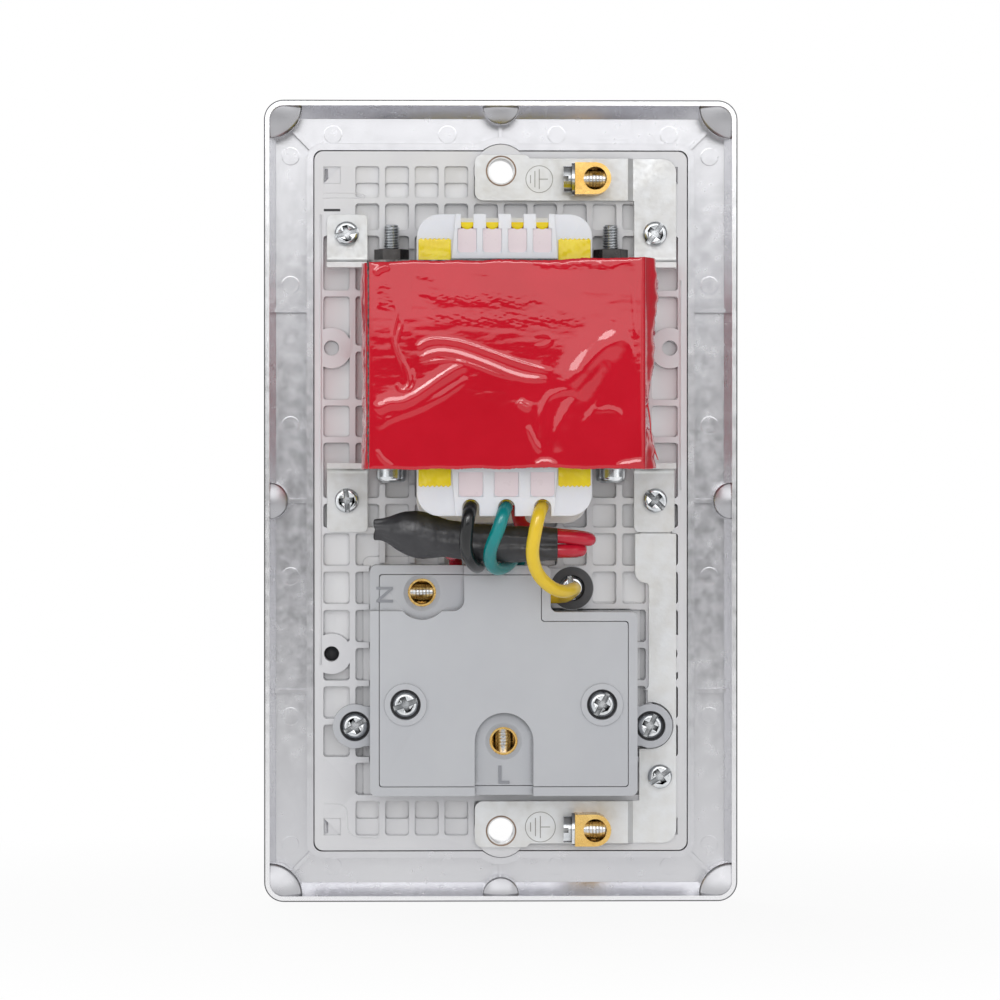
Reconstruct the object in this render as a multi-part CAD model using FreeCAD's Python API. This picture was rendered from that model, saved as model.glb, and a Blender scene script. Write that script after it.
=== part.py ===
import FreeCAD, Part
import math
import os

# Shaver socket: a raised two-gang plate with a mains transformer behind it.
# Millimetres. The unit stands as on its wall: +Z up, front towards -Y, the wall plane at Y = 0,
# and the origin midway between the two fixing holes.

# Front plate
PLATE_WIDTH = 86.6
PLATE_HEIGHT = 146.6
PLATE_DEPTH = 8.5
PLATE_FACE_WALL = 1.6
PLATE_CORNER_R = 3.6
PLATE_FRONT_EDGE_R = 1.4
RIM_LAND = 1.0
SIDE_DRAFT = 1.0
END_DRAFT = 2.0
CORNER_BOSS_R = 6.0
MID_BOSS_R = 3.4
BOSS_BELOW_RIM = 1.5
FLOOR_RIB_WALL = 0.7
FLOOR_RIB_HEIGHT = 1.6
SIDE_RIB_PITCH = 35.0
POCKET_RIB_WALL = 1.25
POCKET_RIB_HEIGHT = 5.2
FIXING_SPACING = 120.6
FIXING_HOLE_R = 2.3
COUNTERSINK_R = 3.85
HOOK_WIDTH = 2.3
HOOK_WALL = 1.2
HOOK_BARB = 0.8
HOOK_SEAT_GAP = 0.05
HOOK_TIP_BELOW = 0.3

# Carrier moulding with the outlet face
CARRIER_WIDTH = 68.2
CARRIER_HEIGHT = 128.0
CARRIER_CORNER_R = 1.6
CARRIER_DEPTH = 5.4
CARRIER_FLOOR = 1.5
CARRIER_END_FLOOR = 3.4
POCKET_FIT = 0.2
RIB_WALL = 1.05
COLUMN_PITCH = 5.43
COLUMNS_EACH_SIDE = 5
SIDE_BORDER = 1.6
END_BORDER = 2.7
ROW_RIBS_UPPER = (55.0, 49.1, 38.0, 27.9, 18.0, 11.2, 0.0)
ROW_RIB_FIRST_LOWER = -5.4
ROW_PITCH = 7.0
ROW_RIBS_LOWER = 8
CELL_CORNER_R = 0.6
END_SHELF_FROM_EDGE = 5.6
FIXING_BOSS_R = 4.9
SCREW_BOSS_R = 2.7
PILOT_R = 1.15
SPARE_BOSS_R = 3.7
SPARE_HOLE_R = 1.4
SPARE_BOSS_X = 31.0
SPARE_BOSS_Z = 28.0
CLIP_WINDOW = 3.1
CLIP_X = 30.9
CLIP_Z = 59.65
CLIP_LEDGE = 2.0
FACE_WIDTH = 49.6
FACE_HEIGHT = 40.6
FACE_CENTRE_Z = -32.5
FACE_CORNER_R = 2.5
FACE_PROUD = 0.6
FACE_FIT = 0.2

# Outlets and shutter
OUTLET_SPACING = 22.0
PIN_SPACING = 17.2
SLOT_WIDTH = 5.6
SLOT_HEIGHT = 6.2
SLOT_CORNER_R = 0.8
SHUTTER_WIDTH = 33.0
SHUTTER_THICK = 2.4
SHUTTER_TRAVEL = 6.8
SHUTTER_COVER = 0.4
SHUTTER_GAP = 0.2
SHUTTER_STOP_GAP = 0.1
SHUTTER_RAMP = 1.9
SHUTTER_CORNER_R = 1.0
SHUTTER_BRIDGE = 4.0
SHUTTER_HOLE_MARGIN = 0.2
SPRING_SLOT_WIDTH = 3.2
SPRING_R = 1.05
SPRING_WIRE_R = 0.18
SPRING_TURNS = 8
SPRING_SOLID_LENGTH = 6.2
POST_LENGTH = 1.5
PEG_SIZE = 1.1
PEG_X = -15.8
PEG_REACH = 3.0

# Terminal housing
HOUSING_LEFT = 23.9
HOUSING_RIGHT = -24.4
HOUSING_TOP = -11.6
HOUSING_BOTTOM = -53.2
NOTCH_X = -8.7
NOTCH_Z = -20.0
HOUSING_BACK_Y = 12.0
HOUSING_CORNER_R = 1.2
HOUSING_WALL = 1.6
BASE_FLOOR = 1.5
COVER_THICK = 1.6
COVER_FIT = 0.12
RECESS_DROP = 3.5
N_TERMINAL = (14.5, -16.55)
L_TERMINAL = (-0.3, -43.5)
N_RECESS_X = 6.9
N_RECESS_Z = -19.8
N_RECESS_CORNER_R = 2.0
N_BULGE_R = 4.8
L_RECESS_R = 5.3
ENTRY_R = 2.55
ENTRY_CHAMFER = 0.8
COVER_SCREWS = ((17.5, -36.7), (-18.0, -36.7))
COVER_BOSS_R = 3.8
COVER_BOSS_DROP = 2.4
COVER_BOSS_PROUD = 0.4
COUNTERBORE_R = 2.75
POST_R = 2.6
LUGS = ((26.7, -41.1), (-27.3, -41.1), (-12.9, -15.9))
LUG_R = 4.0
LUG_TOP_Y = 1.9
LUG_SEAT_Y = -0.1
LUG_BRIDGE_INSET = 0.4
BASE_FIT = 0.25

# Terminals and contacts
BLOCK_SIZE = 6.4
BLOCK_BORE_R = 2.15
BLOCK_LENGTH = 8.6
BLOCK_CORNER_R = 0.6
BLOCK_FLOOR = 1.2
CLAMP_SCREW_R = 1.75
CLAMP_HEAD_R = 2.1
CLAMP_HEAD_HEIGHT = 2.0
CLAMP_HEAD_GAP = 0.1
CLAMP_FIT = 0.05
CLAMP_END_GAP = 0.2
DRIVER_FIT = 0.3
BLADE_WALL = 0.4
BLADE_WIDTH = 4.2
BLADE_GAP = 3.6
BLADE_LENGTH = 8.2
LINK_WIDTH = 2.6
LEAF_WALL = 0.3
LEAF_WIDTH = 7.0
LEAF_LENGTH = 7.0
LEAF_GAP = 2.1
LEAF_X = -17.2
LEAF_Z = -27.0
LEAF_TIP_R = 1.1
LEAF_TIP_DROP = 0.3

# Zinc-plated steel
STRAP_WALL = 1.0
STRAP_BEND_R = 1.0
ARM_LIFT = 1.3
ARM_TIP_X = 4.8
ARM_END_X = -23.2
ARM_STEP_X = -4.6
ARM_STEP = 0.7
ARM_WIDTH = 8.4
ARM_TIP_ABOVE_HOLE = 3.0
ARM_CORNER_R = 1.5
SHOULDER_R = 0.3
STRAP_CORNER_R = 2.5
INNER_CORNER_R = 0.2
JOGGLE_RUN = 1.0
FOOT_OUTER_X = 31.8
FOOT_FROM_CORE = 0.4
WEB_SIDE_GAP = 0.3
UPPER_FOOT_TOP = 52.4
LOWER_FOOT_BOTTOM = -5.7
FOOT_CORNER_R = 1.0
FOOT_SCREW_X = 28.2
UPPER_FOOT_SCREW_Z = 48.9
LOWER_FOOT_SCREW_Z = 0.1
STRAP_OUTER_X = -32.1
LEG_INNER_X = -24.6
LEG_NARROW_X = -27.1
LEG_NARROW_TOP_Z = -15.0
LEG_NARROW_BOTTOM_Z = -34.6
LEG_STEP_R = 2.0
LEG_HEEL_R = 0.6
LEG_TOE_R = 1.0
LEG_FROM_LUG = 0.4
FOOT_RUN = 1.0
STRAP_SCREW = (-29.1, -50.4)
LEG_GAP = 0.3
TONGUE_LENGTH = 7.5
TONGUE_WIDTH = 5.6
LUG_CLEARANCE = 0.3

# Earth terminals
PILLAR_X = -16.95
PILLAR_FROM_HOLE = {1: 1.7, -1: 0.5}
PILLAR_FLOOR = 0.8
PILLAR_R = 2.9
PILLAR_BORE_R = 2.1
PILLAR_HEIGHT = 6.6
PILLAR_NECK_WIDTH = 5.8
PILLAR_NECK_END_X = -13.3
EARTH_HEAD_R = 2.4
EARTH_HEAD_LENGTH = 2.0
EARTH_FLANGE_R = 3.0
EARTH_FLANGE_WALL = 0.5

# Transformer
CORE_WIDTH = 48.0
CORE_LEG = 8.0
CORE_CENTRE_LEG = 16.0
CORE_BACK = 8.0
CORE_WINDOW = 24.0
STACK_BOTTOM = 6.9
STACK_TOP = 42.5
CORE_FRONT_Y = -3.0
CORE_HOLE_INSET = 4.0
CORE_HOLE_R = 1.75
WEB_HEIGHT = 5.4
BOLT_R = 1.5
BOLT_HOLE_FIT = 0.15
BOLT_HEAD_R = 2.75
BOLT_HEAD_HEIGHT = 2.6
BOLT_END_Z = 50.4
NUT_FLATS = 5.5
NUT_HEIGHT = 2.4
BOBBIN_FIT = 0.25
BOBBIN_WALL = 1.0
FLANGE_WALL = 1.3
LEG_TO_FLANGE = 0.5
FLANGE_OVERHANG = 0.95
FLANGE_TOP = 50.9
FLANGE_BOTTOM = -2.5
FLANGE_CORNER_R = 4.0
LOWER_FLANGE_EXTRA = 1.5
PARTITION_WALL = 1.0
PARTITION_CORNER_R = 1.0
COIL_CORNER_R = 2.0
HOOD_HALF_WIDTH = 8.7
HOOD_PROUD = 1.6
HOOD_TAPER = 0.7
HOOD_GAP = 0.5
TOP_TAB_GAPS = (6.65, 2.2, -2.25, -6.65)
TAB_GAP_WIDTH = 2.2
TAB_GAP_DEPTH = 2.6
WINDOW_WIDTH = 3.4
WINDOW_DEPTH = 0.7
WINDOW_FROM_CORE = 1.6
LEAD_WINDOW_WIDTH = 4.4
LEAD_WINDOW_FROM_NOTCH = 0.4
LEAD_NOTCHES = (6.0, -0.3, -6.7)
LEAD_NOTCH_WIDTH = 3.0
LEAD_NOTCH_DEPTH = 3.0
WRAP_WALL = 0.3
WRAP_GAP = 0.05
STRIP_WALL = 0.15
STRIP_REACH = 3.6
STRIP_FROM_HOOD = 0.1
STRIP_FROM_EDGE = 0.2
STRIP_FROM_CORE = 0.5
TAPE_WALL = 0.35
TAPE_GAP = 0.1
TAPE_OVERHANG = 1.1
TAPE_CORNER_R = 0.5

# Screws
PAN_HEAD_R = 2.25
PAN_HEAD_HEIGHT = 1.6
PAN_SHANK_R = 1.1
PAN_LENGTH = 4.6
LUG_SCREW_LENGTH = 3.4
PILOT_SPARE = 0.3
SCREW_PASS_FIT = 0.2
HEAD_ROUNDING = 0.45
COVER_SCREW_LENGTH = 9.0
CROSS_WIDTH = 0.95
CROSS_LENGTH = 2.9
CROSS_DEPTH = 0.9
FOOT_SCREW_TURNS = (15, 55, 95, 135)
STRAP_SCREW_TURN = 35
LUG_SCREW_TURNS = (30, 65, 100)
COVER_SCREW_TURNS = (20, 60)

# Leads and sleeve
LEAD_R = 1.2
SLEEVE_WALL = 0.45
SLEEVE_FIT = 0.3
LEAD_ENTRY_Y = 4.6
LEAD_ENTRIES_TOP = (4.1, -3.1, 8.3)
YELLOW_ENTRY = (6.6, -17.4)
LEAD_HOLE_FIT = 0.1
LEAD_ROOT = 0.1
ARC_SHARE = 0.45
CUTOUT_LENGTH = 8.0
CUTOUT_SHIFT = 0.8
CUTOUT_HALF_HEIGHT = 2.9
CUTOUT_HALF_DEPTH = 1.7

# Levels along Y that the pieces share
FACE_Y = -PLATE_DEPTH
PLATE_INNER_Y = FACE_Y + PLATE_FACE_WALL
CARRIER_BACK_Y = PLATE_INNER_Y + CARRIER_DEPTH
CARRIER_FLOOR_Y = PLATE_INNER_Y + CARRIER_FLOOR
OUTLET_FACE_Y = FACE_Y - FACE_PROUD
SHUTTER_WELL_Y = PLATE_INNER_Y
SHUTTER_FRONT_Y = SHUTTER_WELL_Y + SHUTTER_GAP
SHUTTER_BACK_Y = SHUTTER_FRONT_Y + SHUTTER_THICK
BASE_FRONT_Y = SHUTTER_BACK_Y + SHUTTER_GAP
BASE_INNER_Y = BASE_FRONT_Y + BASE_FLOOR
RECESS_Y = HOUSING_BACK_Y - RECESS_DROP
ARM_Y = CARRIER_BACK_Y + ARM_LIFT
CORE_BACK_Y = CORE_FRONT_Y + 2 * CORE_BACK + CORE_WINDOW
BOLT_Y = CORE_FRONT_Y + CORE_HOLE_INSET
WINDOW_FRONT_Y = CORE_FRONT_Y + CORE_BACK
WINDOW_BACK_Y = WINDOW_FRONT_Y + CORE_WINDOW
FLANGE_BACK_Y = WINDOW_BACK_Y - BOBBIN_FIT
FLANGE_FRONT_Y = WINDOW_FRONT_Y + BOBBIN_FIT
HOLE_Z = FIXING_SPACING / 2

# The transformer's feet start beside the core.
FOOT_INNER_X = CORE_WIDTH / 2 + FOOT_FROM_CORE

# The bobbin's flanges fill the core's windows, and the coils stay inside the flanges.
FLANGE_HALF_WIDTH = CORE_WIDTH / 2 - CORE_LEG - LEG_TO_FLANGE
COIL_HALF_WIDTH = FLANGE_HALF_WIDTH - FLANGE_OVERHANG
WINDING_THICK = COIL_HALF_WIDTH - CORE_CENTRE_LEG / 2 - BOBBIN_FIT - BOBBIN_WALL

# A cut runs past the faces that it opens; a root runs into the piece that it grows from.
THROUGH = 1.0
ROOT = 0.2

V = FreeCAD.Vector

# Points of the leads, from the bobbin or the sleeve to the housing
ENTRY_END_Z = HOUSING_TOP - HOUSING_WALL + ROOT
LEAD_START_Y = FLANGE_BACK_Y - FLANGE_WALL + LEAD_ROOT
LEAD_START_Z = FLANGE_BOTTOM + LEAD_NOTCH_DEPTH - LEAD_NOTCH_WIDTH / 2

BLACK_ROUTE = [
    (LEAD_NOTCHES[0], LEAD_START_Y, LEAD_START_Z), (6.2, 31.0, -1.4), (6.8, 31.6, -5.0), (6.9, 28.6, -9.0),
    (5.7, 24.4, -11.8), (4.6, 19.8, -12.8), (4.2, 15.6, -11.9), (4.3, 11.6, -10.0), (4.2, 7.6, -9.4),
    (LEAD_ENTRIES_TOP[0], LEAD_ENTRY_Y, -10.6), (LEAD_ENTRIES_TOP[0], LEAD_ENTRY_Y, ENTRY_END_Z)]
GREEN_ROUTE = [
    (LEAD_NOTCHES[1], LEAD_START_Y, LEAD_START_Z), (0.1, 31.0, -1.3), (1.1, 31.8, -4.8), (2.7, 29.4, -8.7),
    (2.5, 25.6, -11.8), (1.1, 21.6, -12.9), (-0.6, 17.4, -12.3), (-2.1, 13.4, -10.2), (-3.0, 8.6, -9.5),
    (LEAD_ENTRIES_TOP[1], LEAD_ENTRY_Y, -10.5), (LEAD_ENTRIES_TOP[1], LEAD_ENTRY_Y, ENTRY_END_Z)]
YELLOW_ROUTE = [
    (LEAD_NOTCHES[2], LEAD_START_Y, LEAD_START_Z), (-6.2, 31.2, -1.4), (-5.4, 31.9, -4.8), (-4.7, 30.6, -9.0),
    (-5.6, 28.2, -12.6), (-8.2, 25.8, -15.5), (-11.5, 22.6, -16.5), (-13.8, 18.2, -15.7), (-14.1, 13.4, -15.8),
    (-12.8, 9.2, -17.1), (-11.2, YELLOW_ENTRY[0], YELLOW_ENTRY[1]),
    (NOTCH_X + HOUSING_WALL - ROOT, YELLOW_ENTRY[0], YELLOW_ENTRY[1])]
RED_UPPER_ROUTE = [
    (10.1, 21.0, -5.8), (1.9, 21.1, -5.8), (-5.9, 21.2, -6.0), (-14.1, 21.0, -6.1), (-14.8, 16.4, -6.2),
    (-8.2, 15.9, -6.0), (-4.1, 15.2, -5.1), (-2.7, 13.0, -3.3), (-2.7, 12.4, -0.9)]
RED_LOWER_ROUTE = [
    (10.1, 21.0, -8.5), (1.9, 21.0, -8.6), (-5.1, 21.1, -8.8), (-12.1, 20.9, -9.0),
    (-12.8, 16.5, -9.1), (-5.6, 15.9, -8.9), (1.4, 15.8, -8.7), (6.9, 15.4, -8.9),
    (9.7, 13.0, -9.3), (9.0, 8.8, -9.5),
    (LEAD_ENTRIES_TOP[2], LEAD_ENTRY_Y, -10.4), (LEAD_ENTRIES_TOP[2], LEAD_ENTRY_Y, ENTRY_END_Z)]

# Sections of the sleeve from its pressed end to its open end: x, centre z, half height, half depth
SLEEVE_Y = 21.0
SLEEVE_SECTIONS = (
    (23.1, -5.2, 2.1, 0.9), (20.1, -5.3, 3.1, 2.2), (15.1, -5.9, 4.3, 3.0), (6.5, -7.0, 4.0, 2.7),
    (-9.7, -7.5, 3.9, 2.5))


def block(x0, x1, y0, y1, z0, z1):
    """Box between two opposite corners, given in any order along X."""
    low = V(min(x0, x1), min(y0, y1), min(z0, z1))
    return Part.makeBox(abs(x1 - x0), abs(y1 - y0), abs(z1 - z0), low)


def rod_y(x, z, radius, y0, y1):
    return Part.makeCylinder(radius, y1 - y0, V(x, y0, z), V(0, 1, 0))


def cone_y(x, z, r0, r1, y0, y1):
    return Part.makeCone(r0, r1, y1 - y0, V(x, y0, z), V(0, 1, 0))


def rod(start, direction, radius, length):
    return Part.makeCylinder(radius, length, start, direction)


def rounded_wire(corners, at):
    """Closed wire through corners (u, v, radius); each corner is an arc, and at(u, v) places it in space."""
    runs = []
    for i, (u, v, radius) in enumerate(corners):
        before = corners[i - 1]
        after = corners[(i + 1) % len(corners)]
        to_before = math.hypot(before[0] - u, before[1] - v)
        to_after = math.hypot(after[0] - u, after[1] - v)
        a = ((before[0] - u) / to_before, (before[1] - v) / to_before)
        b = ((after[0] - u) / to_after, (after[1] - v) / to_after)
        half = math.acos(max(-1.0, min(1.0, a[0] * b[0] + a[1] * b[1]))) / 2
        back = radius / math.tan(half)
        mid_u, mid_v = a[0] + b[0], a[1] + b[1]
        size = math.hypot(mid_u, mid_v)
        reach = radius / math.sin(half) - radius
        start = (u + a[0] * back, v + a[1] * back)
        middle = (u + mid_u / size * reach, v + mid_v / size * reach)
        end = (u + b[0] * back, v + b[1] * back)
        runs.append((radius, start, middle, end))
    edges = []
    for i, (radius, start, middle, end) in enumerate(runs):
        last = runs[i - 1][3]
        if math.hypot(start[0] - last[0], start[1] - last[1]) > 1e-6:
            edges.append(Part.makeLine(at(*last), at(*start)))
        if radius > 0:
            edges.append(Part.Arc(at(*start), at(*middle), at(*end)).toShape())
    return Part.Wire(Part.__sortEdges__(edges))


def prism_y(corners, y0, y1):
    """Outline in X and Z, extruded along Y."""
    face = Part.Face(rounded_wire(corners, lambda u, v: V(u, y0, v)))
    return face.extrude(V(0, y1 - y0, 0))


def prism_x(corners, x0, x1):
    """Outline in Y and Z, extruded along X."""
    face = Part.Face(rounded_wire(corners, lambda u, v: V(x0, u, v)))
    return face.extrude(V(x1 - x0, 0, 0))


def prism_z(corners, z0, z1):
    """Outline in X and Y, extruded along Z."""
    face = Part.Face(rounded_wire(corners, lambda u, v: V(u, v, z0)))
    return face.extrude(V(0, 0, z1 - z0))


def rectangle(x0, x1, z0, z1, radius):
    return [(x0, z0, radius), (x1, z0, radius), (x1, z1, radius), (x0, z1, radius)]


def centred(half_u, half_v, radius):
    return rectangle(-half_u, half_u, -half_v, half_v, radius)


def union(shapes):
    return shapes[0].multiFuse(shapes[1:]).removeSplitter()


def save(name, shape):
    """Write one sub-part and print what it holds."""
    solids = shape.Solids
    print(name, "solids", len(solids), "volume", round(sum(s.Volume for s in solids), 1), shape.isValid())
    whole = solids[0] if len(solids) == 1 else Part.makeCompound(solids)
    whole.exportStep("parts/" + name + ".step")


# Front plate

def drafted_cavity(inset_x, inset_z, radius):
    """Hollow of the plate, narrower at the floor than at the rim."""
    top_x = PLATE_WIDTH / 2 - RIM_LAND
    top_z = PLATE_HEIGHT / 2 - RIM_LAND
    wires = []
    for level, dx, dz in ((PLATE_INNER_Y, inset_x, inset_z), (0.0, 0.0, 0.0)):
        corners = centred(top_x - dx, top_z - dz, radius)
        wires.append(rounded_wire(corners, lambda u, v, y=level: V(u, y, v)))
    return Part.makeLoft(wires, True, True)


def plate_bosses(cavity):
    """Quarter-round corner bosses, half-round bosses at mid-side, and the ribs on the floor."""
    top = -BOSS_BELOW_RIM
    x = PLATE_WIDTH / 2 - RIM_LAND
    z = PLATE_HEIGHT / 2 - RIM_LAND
    rib_top = PLATE_INNER_Y + FLOOR_RIB_HEIGHT
    half = FLOOR_RIB_WALL / 2
    pocket_x = CARRIER_WIDTH / 2 + POCKET_FIT
    pocket_z = CARRIER_HEIGHT / 2 + POCKET_FIT
    parts = []
    for sx in (-1, 1):
        for sz in (-1, 1):
            parts.append(rod_y(sx * x, sz * z, CORNER_BOSS_R, PLATE_INNER_Y, top))
            length = math.hypot(x - pocket_x, z - pocket_z)
            diagonal = block(0, length, PLATE_INNER_Y, rib_top, -half, half)
            turn = math.degrees(math.atan2(z - pocket_z, x - pocket_x))
            diagonal.rotate(V(0, 0, 0), V(0, -1, 0), turn)
            diagonal.translate(V(pocket_x, 0, pocket_z))
            if sx < 0:
                diagonal = diagonal.mirror(V(0, 0, 0), V(1, 0, 0))
            if sz < 0:
                diagonal = diagonal.mirror(V(0, 0, 0), V(0, 0, 1))
            parts.append(diagonal)
    for s in (-1, 1):
        parts.append(rod_y(0, s * z, MID_BOSS_R, PLATE_INNER_Y, top))
        parts.append(rod_y(s * x, 0, MID_BOSS_R, PLATE_INNER_Y, top))
        parts.append(block(-half, half, PLATE_INNER_Y, rib_top, s * pocket_z, s * z))
        for k in (-1, 0, 1):
            middle = k * SIDE_RIB_PITCH
            parts.append(block(s * pocket_x, s * x, PLATE_INNER_Y, rib_top, middle - half, middle + half))
    return union(parts).common(cavity)


def pocket_rib():
    """Wall round the carrier, with a round bay at each fixing hole."""
    inner_x = CARRIER_WIDTH / 2 + POCKET_FIT
    inner_z = CARRIER_HEIGHT / 2 + POCKET_FIT
    top = PLATE_INNER_Y + POCKET_RIB_HEIGHT
    corner = CARRIER_CORNER_R + POCKET_RIB_WALL
    outer = prism_y(centred(inner_x + POCKET_RIB_WALL, inner_z + POCKET_RIB_WALL, corner), PLATE_INNER_Y, top)
    inner = prism_y(centred(inner_x, inner_z, CARRIER_CORNER_R), PLATE_INNER_Y, top)
    bay_r = FIXING_BOSS_R + POCKET_FIT
    for s in (-1, 1):
        outer = outer.fuse(rod_y(0, s * HOLE_Z, bay_r + POCKET_RIB_WALL, PLATE_INNER_Y, top))
        inner = inner.fuse(rod_y(0, s * HOLE_Z, bay_r, PLATE_INNER_Y, top))
    return outer.cut(inner)


def hook_span():
    """Inner and outer side of a hook's post, against the outer side of its clip window."""
    outer = CLIP_X + CLIP_WINDOW / 2 - POCKET_FIT
    return outer - HOOK_WALL, outer


def snap_hook(sx, sz):
    """Hook that passes the carrier's clip window and holds it with a sloped barb."""
    inner, outer = hook_span()
    seat = CARRIER_BACK_Y - CLIP_LEDGE + HOOK_SEAT_GAP
    tip = CARRIER_BACK_Y - HOOK_TIP_BELOW
    half = HOOK_WIDTH / 2
    low, high = sz * CLIP_Z - half, sz * CLIP_Z + half
    post = block(sx * inner, sx * outer, PLATE_INNER_Y - ROOT, seat + HOOK_BARB, low, high)
    barb = [(sx * outer, seat, 0), (sx * (inner - HOOK_BARB), seat, 0), (sx * outer, tip, 0)]
    return post.fuse(prism_z(barb, low, high))


def front_plate():
    shell = prism_y(centred(PLATE_WIDTH / 2, PLATE_HEIGHT / 2, PLATE_CORNER_R), FACE_Y, 0.0)
    front_edges = [e for e in shell.Edges if abs(e.BoundBox.YMax - FACE_Y) < 1e-6]
    shell = shell.makeFillet(PLATE_FRONT_EDGE_R, front_edges)
    cavity = drafted_cavity(SIDE_DRAFT, END_DRAFT, PLATE_CORNER_R - RIM_LAND)
    shell = shell.cut(cavity)
    shell = union([shell, plate_bosses(cavity), pocket_rib()])
    bay_r = FIXING_BOSS_R + POCKET_FIT
    window = centred(FACE_WIDTH / 2 + FACE_FIT, FACE_HEIGHT / 2 + FACE_FIT, FACE_CORNER_R + FACE_FIT)
    window = [(u, v + FACE_CENTRE_Z, r) for u, v, r in window]
    cuts = [prism_y(window, FACE_Y - THROUGH, PLATE_INNER_Y + THROUGH)]
    for s in (-1, 1):
        cuts.append(rod_y(0, s * HOLE_Z, bay_r, PLATE_INNER_Y, 0.0))
        cuts.append(rod_y(0, s * HOLE_Z, FIXING_HOLE_R, FACE_Y - THROUGH, 0.0))
        depth = COUNTERSINK_R - FIXING_HOLE_R
        cuts.append(cone_y(0, s * HOLE_Z, COUNTERSINK_R, FIXING_HOLE_R, FACE_Y, FACE_Y + depth))
    shell = shell.cut(Part.makeCompound(cuts))
    hooks = [snap_hook(sx, sz) for sx in (-1, 1) for sz in (-1, 1)]
    return union([shell] + hooks)


# Carrier and shutter

def slot_centres():
    """Centre (x, z) of the four pin slots: two outlets side by side, each with two pins one above the other."""
    across = OUTLET_SPACING / 2
    up = PIN_SPACING / 2
    return [(sx * across, FACE_CENTRE_Z + sz * up) for sx in (-1, 1) for sz in (-1, 1)]


def pin_slots(y0, y1, grow=0.0):
    slots = []
    for x, z in slot_centres():
        corners = centred(SLOT_WIDTH / 2 + grow, SLOT_HEIGHT / 2 + grow, SLOT_CORNER_R + grow)
        slots.append(prism_y([(u + x, v + z, r) for u, v, r in corners], y0, y1))
    return slots


def housing_outline(inset, radius):
    """Outline of the terminal housing, moved inwards by inset; it has a notch at one upper corner."""
    left, right = HOUSING_LEFT - inset, HOUSING_RIGHT + inset
    top, bottom = HOUSING_TOP - inset, HOUSING_BOTTOM + inset
    notch_x, notch_z = NOTCH_X + inset, NOTCH_Z - inset
    points = [(left, top), (notch_x, top), (notch_x, notch_z)]
    points += [(right, notch_z), (right, bottom), (left, bottom)]
    return [(x, z, radius) for x, z in points]


def row_spans():
    """Clear height of each row of cells, from the top border to the bottom one."""
    lower = [ROW_RIB_FIRST_LOWER - k * ROW_PITCH for k in range(ROW_RIBS_LOWER)]
    ribs = list(ROW_RIBS_UPPER) + lower
    border = CARRIER_HEIGHT / 2 - END_BORDER
    tops = [border] + [z - RIB_WALL / 2 for z in ribs]
    bottoms = [z + RIB_WALL / 2 for z in ribs] + [-border]
    return list(zip(bottoms, tops))


def column_spans():
    """Clear width of each column of cells, symmetric about the rib on the centre line."""
    half = RIB_WALL / 2
    edges = [k * COLUMN_PITCH for k in range(-COLUMNS_EACH_SIDE, COLUMNS_EACH_SIDE + 1)]
    spans = [(a + half, b - half) for a, b in zip(edges, edges[1:])]
    border = CARRIER_WIDTH / 2 - SIDE_BORDER
    spans.append((edges[-1] + half, border))
    spans.append((-border, edges[0] - half))
    return spans


def grid_cells():
    """Pockets between the ribs; the end rows hold a shelf, and the corner pads stay solid."""
    end_rib = ROW_RIBS_UPPER[1]
    side = COLUMNS_EACH_SIDE * COLUMN_PITCH
    shelf = CARRIER_HEIGHT / 2 - END_SHELF_FROM_EDGE
    back = CARRIER_BACK_Y + THROUGH
    cells = []
    for z0, z1 in row_spans():
        middle = (z0 + z1) / 2
        shallow = abs(middle) > end_rib
        floor = PLATE_INNER_Y + (CARRIER_END_FLOOR if shallow else CARRIER_FLOOR)
        for x0, x1 in column_spans():
            if shallow and abs(x0 + x1) / 2 > side:
                continue
            cells.append(prism_y(rectangle(x0, x1, z0, z1, CELL_CORNER_R), floor, back))
            if shallow:
                below = rectangle(x0, x1, max(z0, -shelf), min(z1, shelf), CELL_CORNER_R)
                cells.append(prism_y(below, CARRIER_FLOOR_Y, back))
    return cells


def spring_post(y0, y1):
    """Post in the shutter's slot that the spring bears on."""
    top = shutter_slot_top() - SHUTTER_COVER
    half = SPRING_SLOT_WIDTH / 2 - SHUTTER_GAP
    return block(-half, half, y0, y1, top - POST_LENGTH, top)


def shutter_top():
    return FACE_CENTRE_Z + PIN_SPACING / 2 + SLOT_HEIGHT / 2 + SHUTTER_COVER


def shutter_bottom():
    return FACE_CENTRE_Z - PIN_SPACING / 2 - SLOT_HEIGHT / 2 - SHUTTER_COVER


def shutter_slot_top():
    return shutter_top() - SHUTTER_BRIDGE


def clip_window(sx, sz):
    """Stepped window for a snap hook: the post passes the narrow part and the barb lies on the ledge."""
    half = CLIP_WINDOW / 2
    inner, outer = hook_span()
    ledge = CARRIER_BACK_Y - CLIP_LEDGE
    z0, z1 = sz * CLIP_Z - half, sz * CLIP_Z + half
    wide = block(sx * (CLIP_X - half), sx * (CLIP_X + half), ledge, THROUGH, z0, z1)
    x0, x1 = sx * (inner - POCKET_FIT), sx * (outer + POCKET_FIT)
    narrow = block(x0, x1, PLATE_INNER_Y - THROUGH, THROUGH, z0, z1)
    return [wide, narrow]


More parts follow.
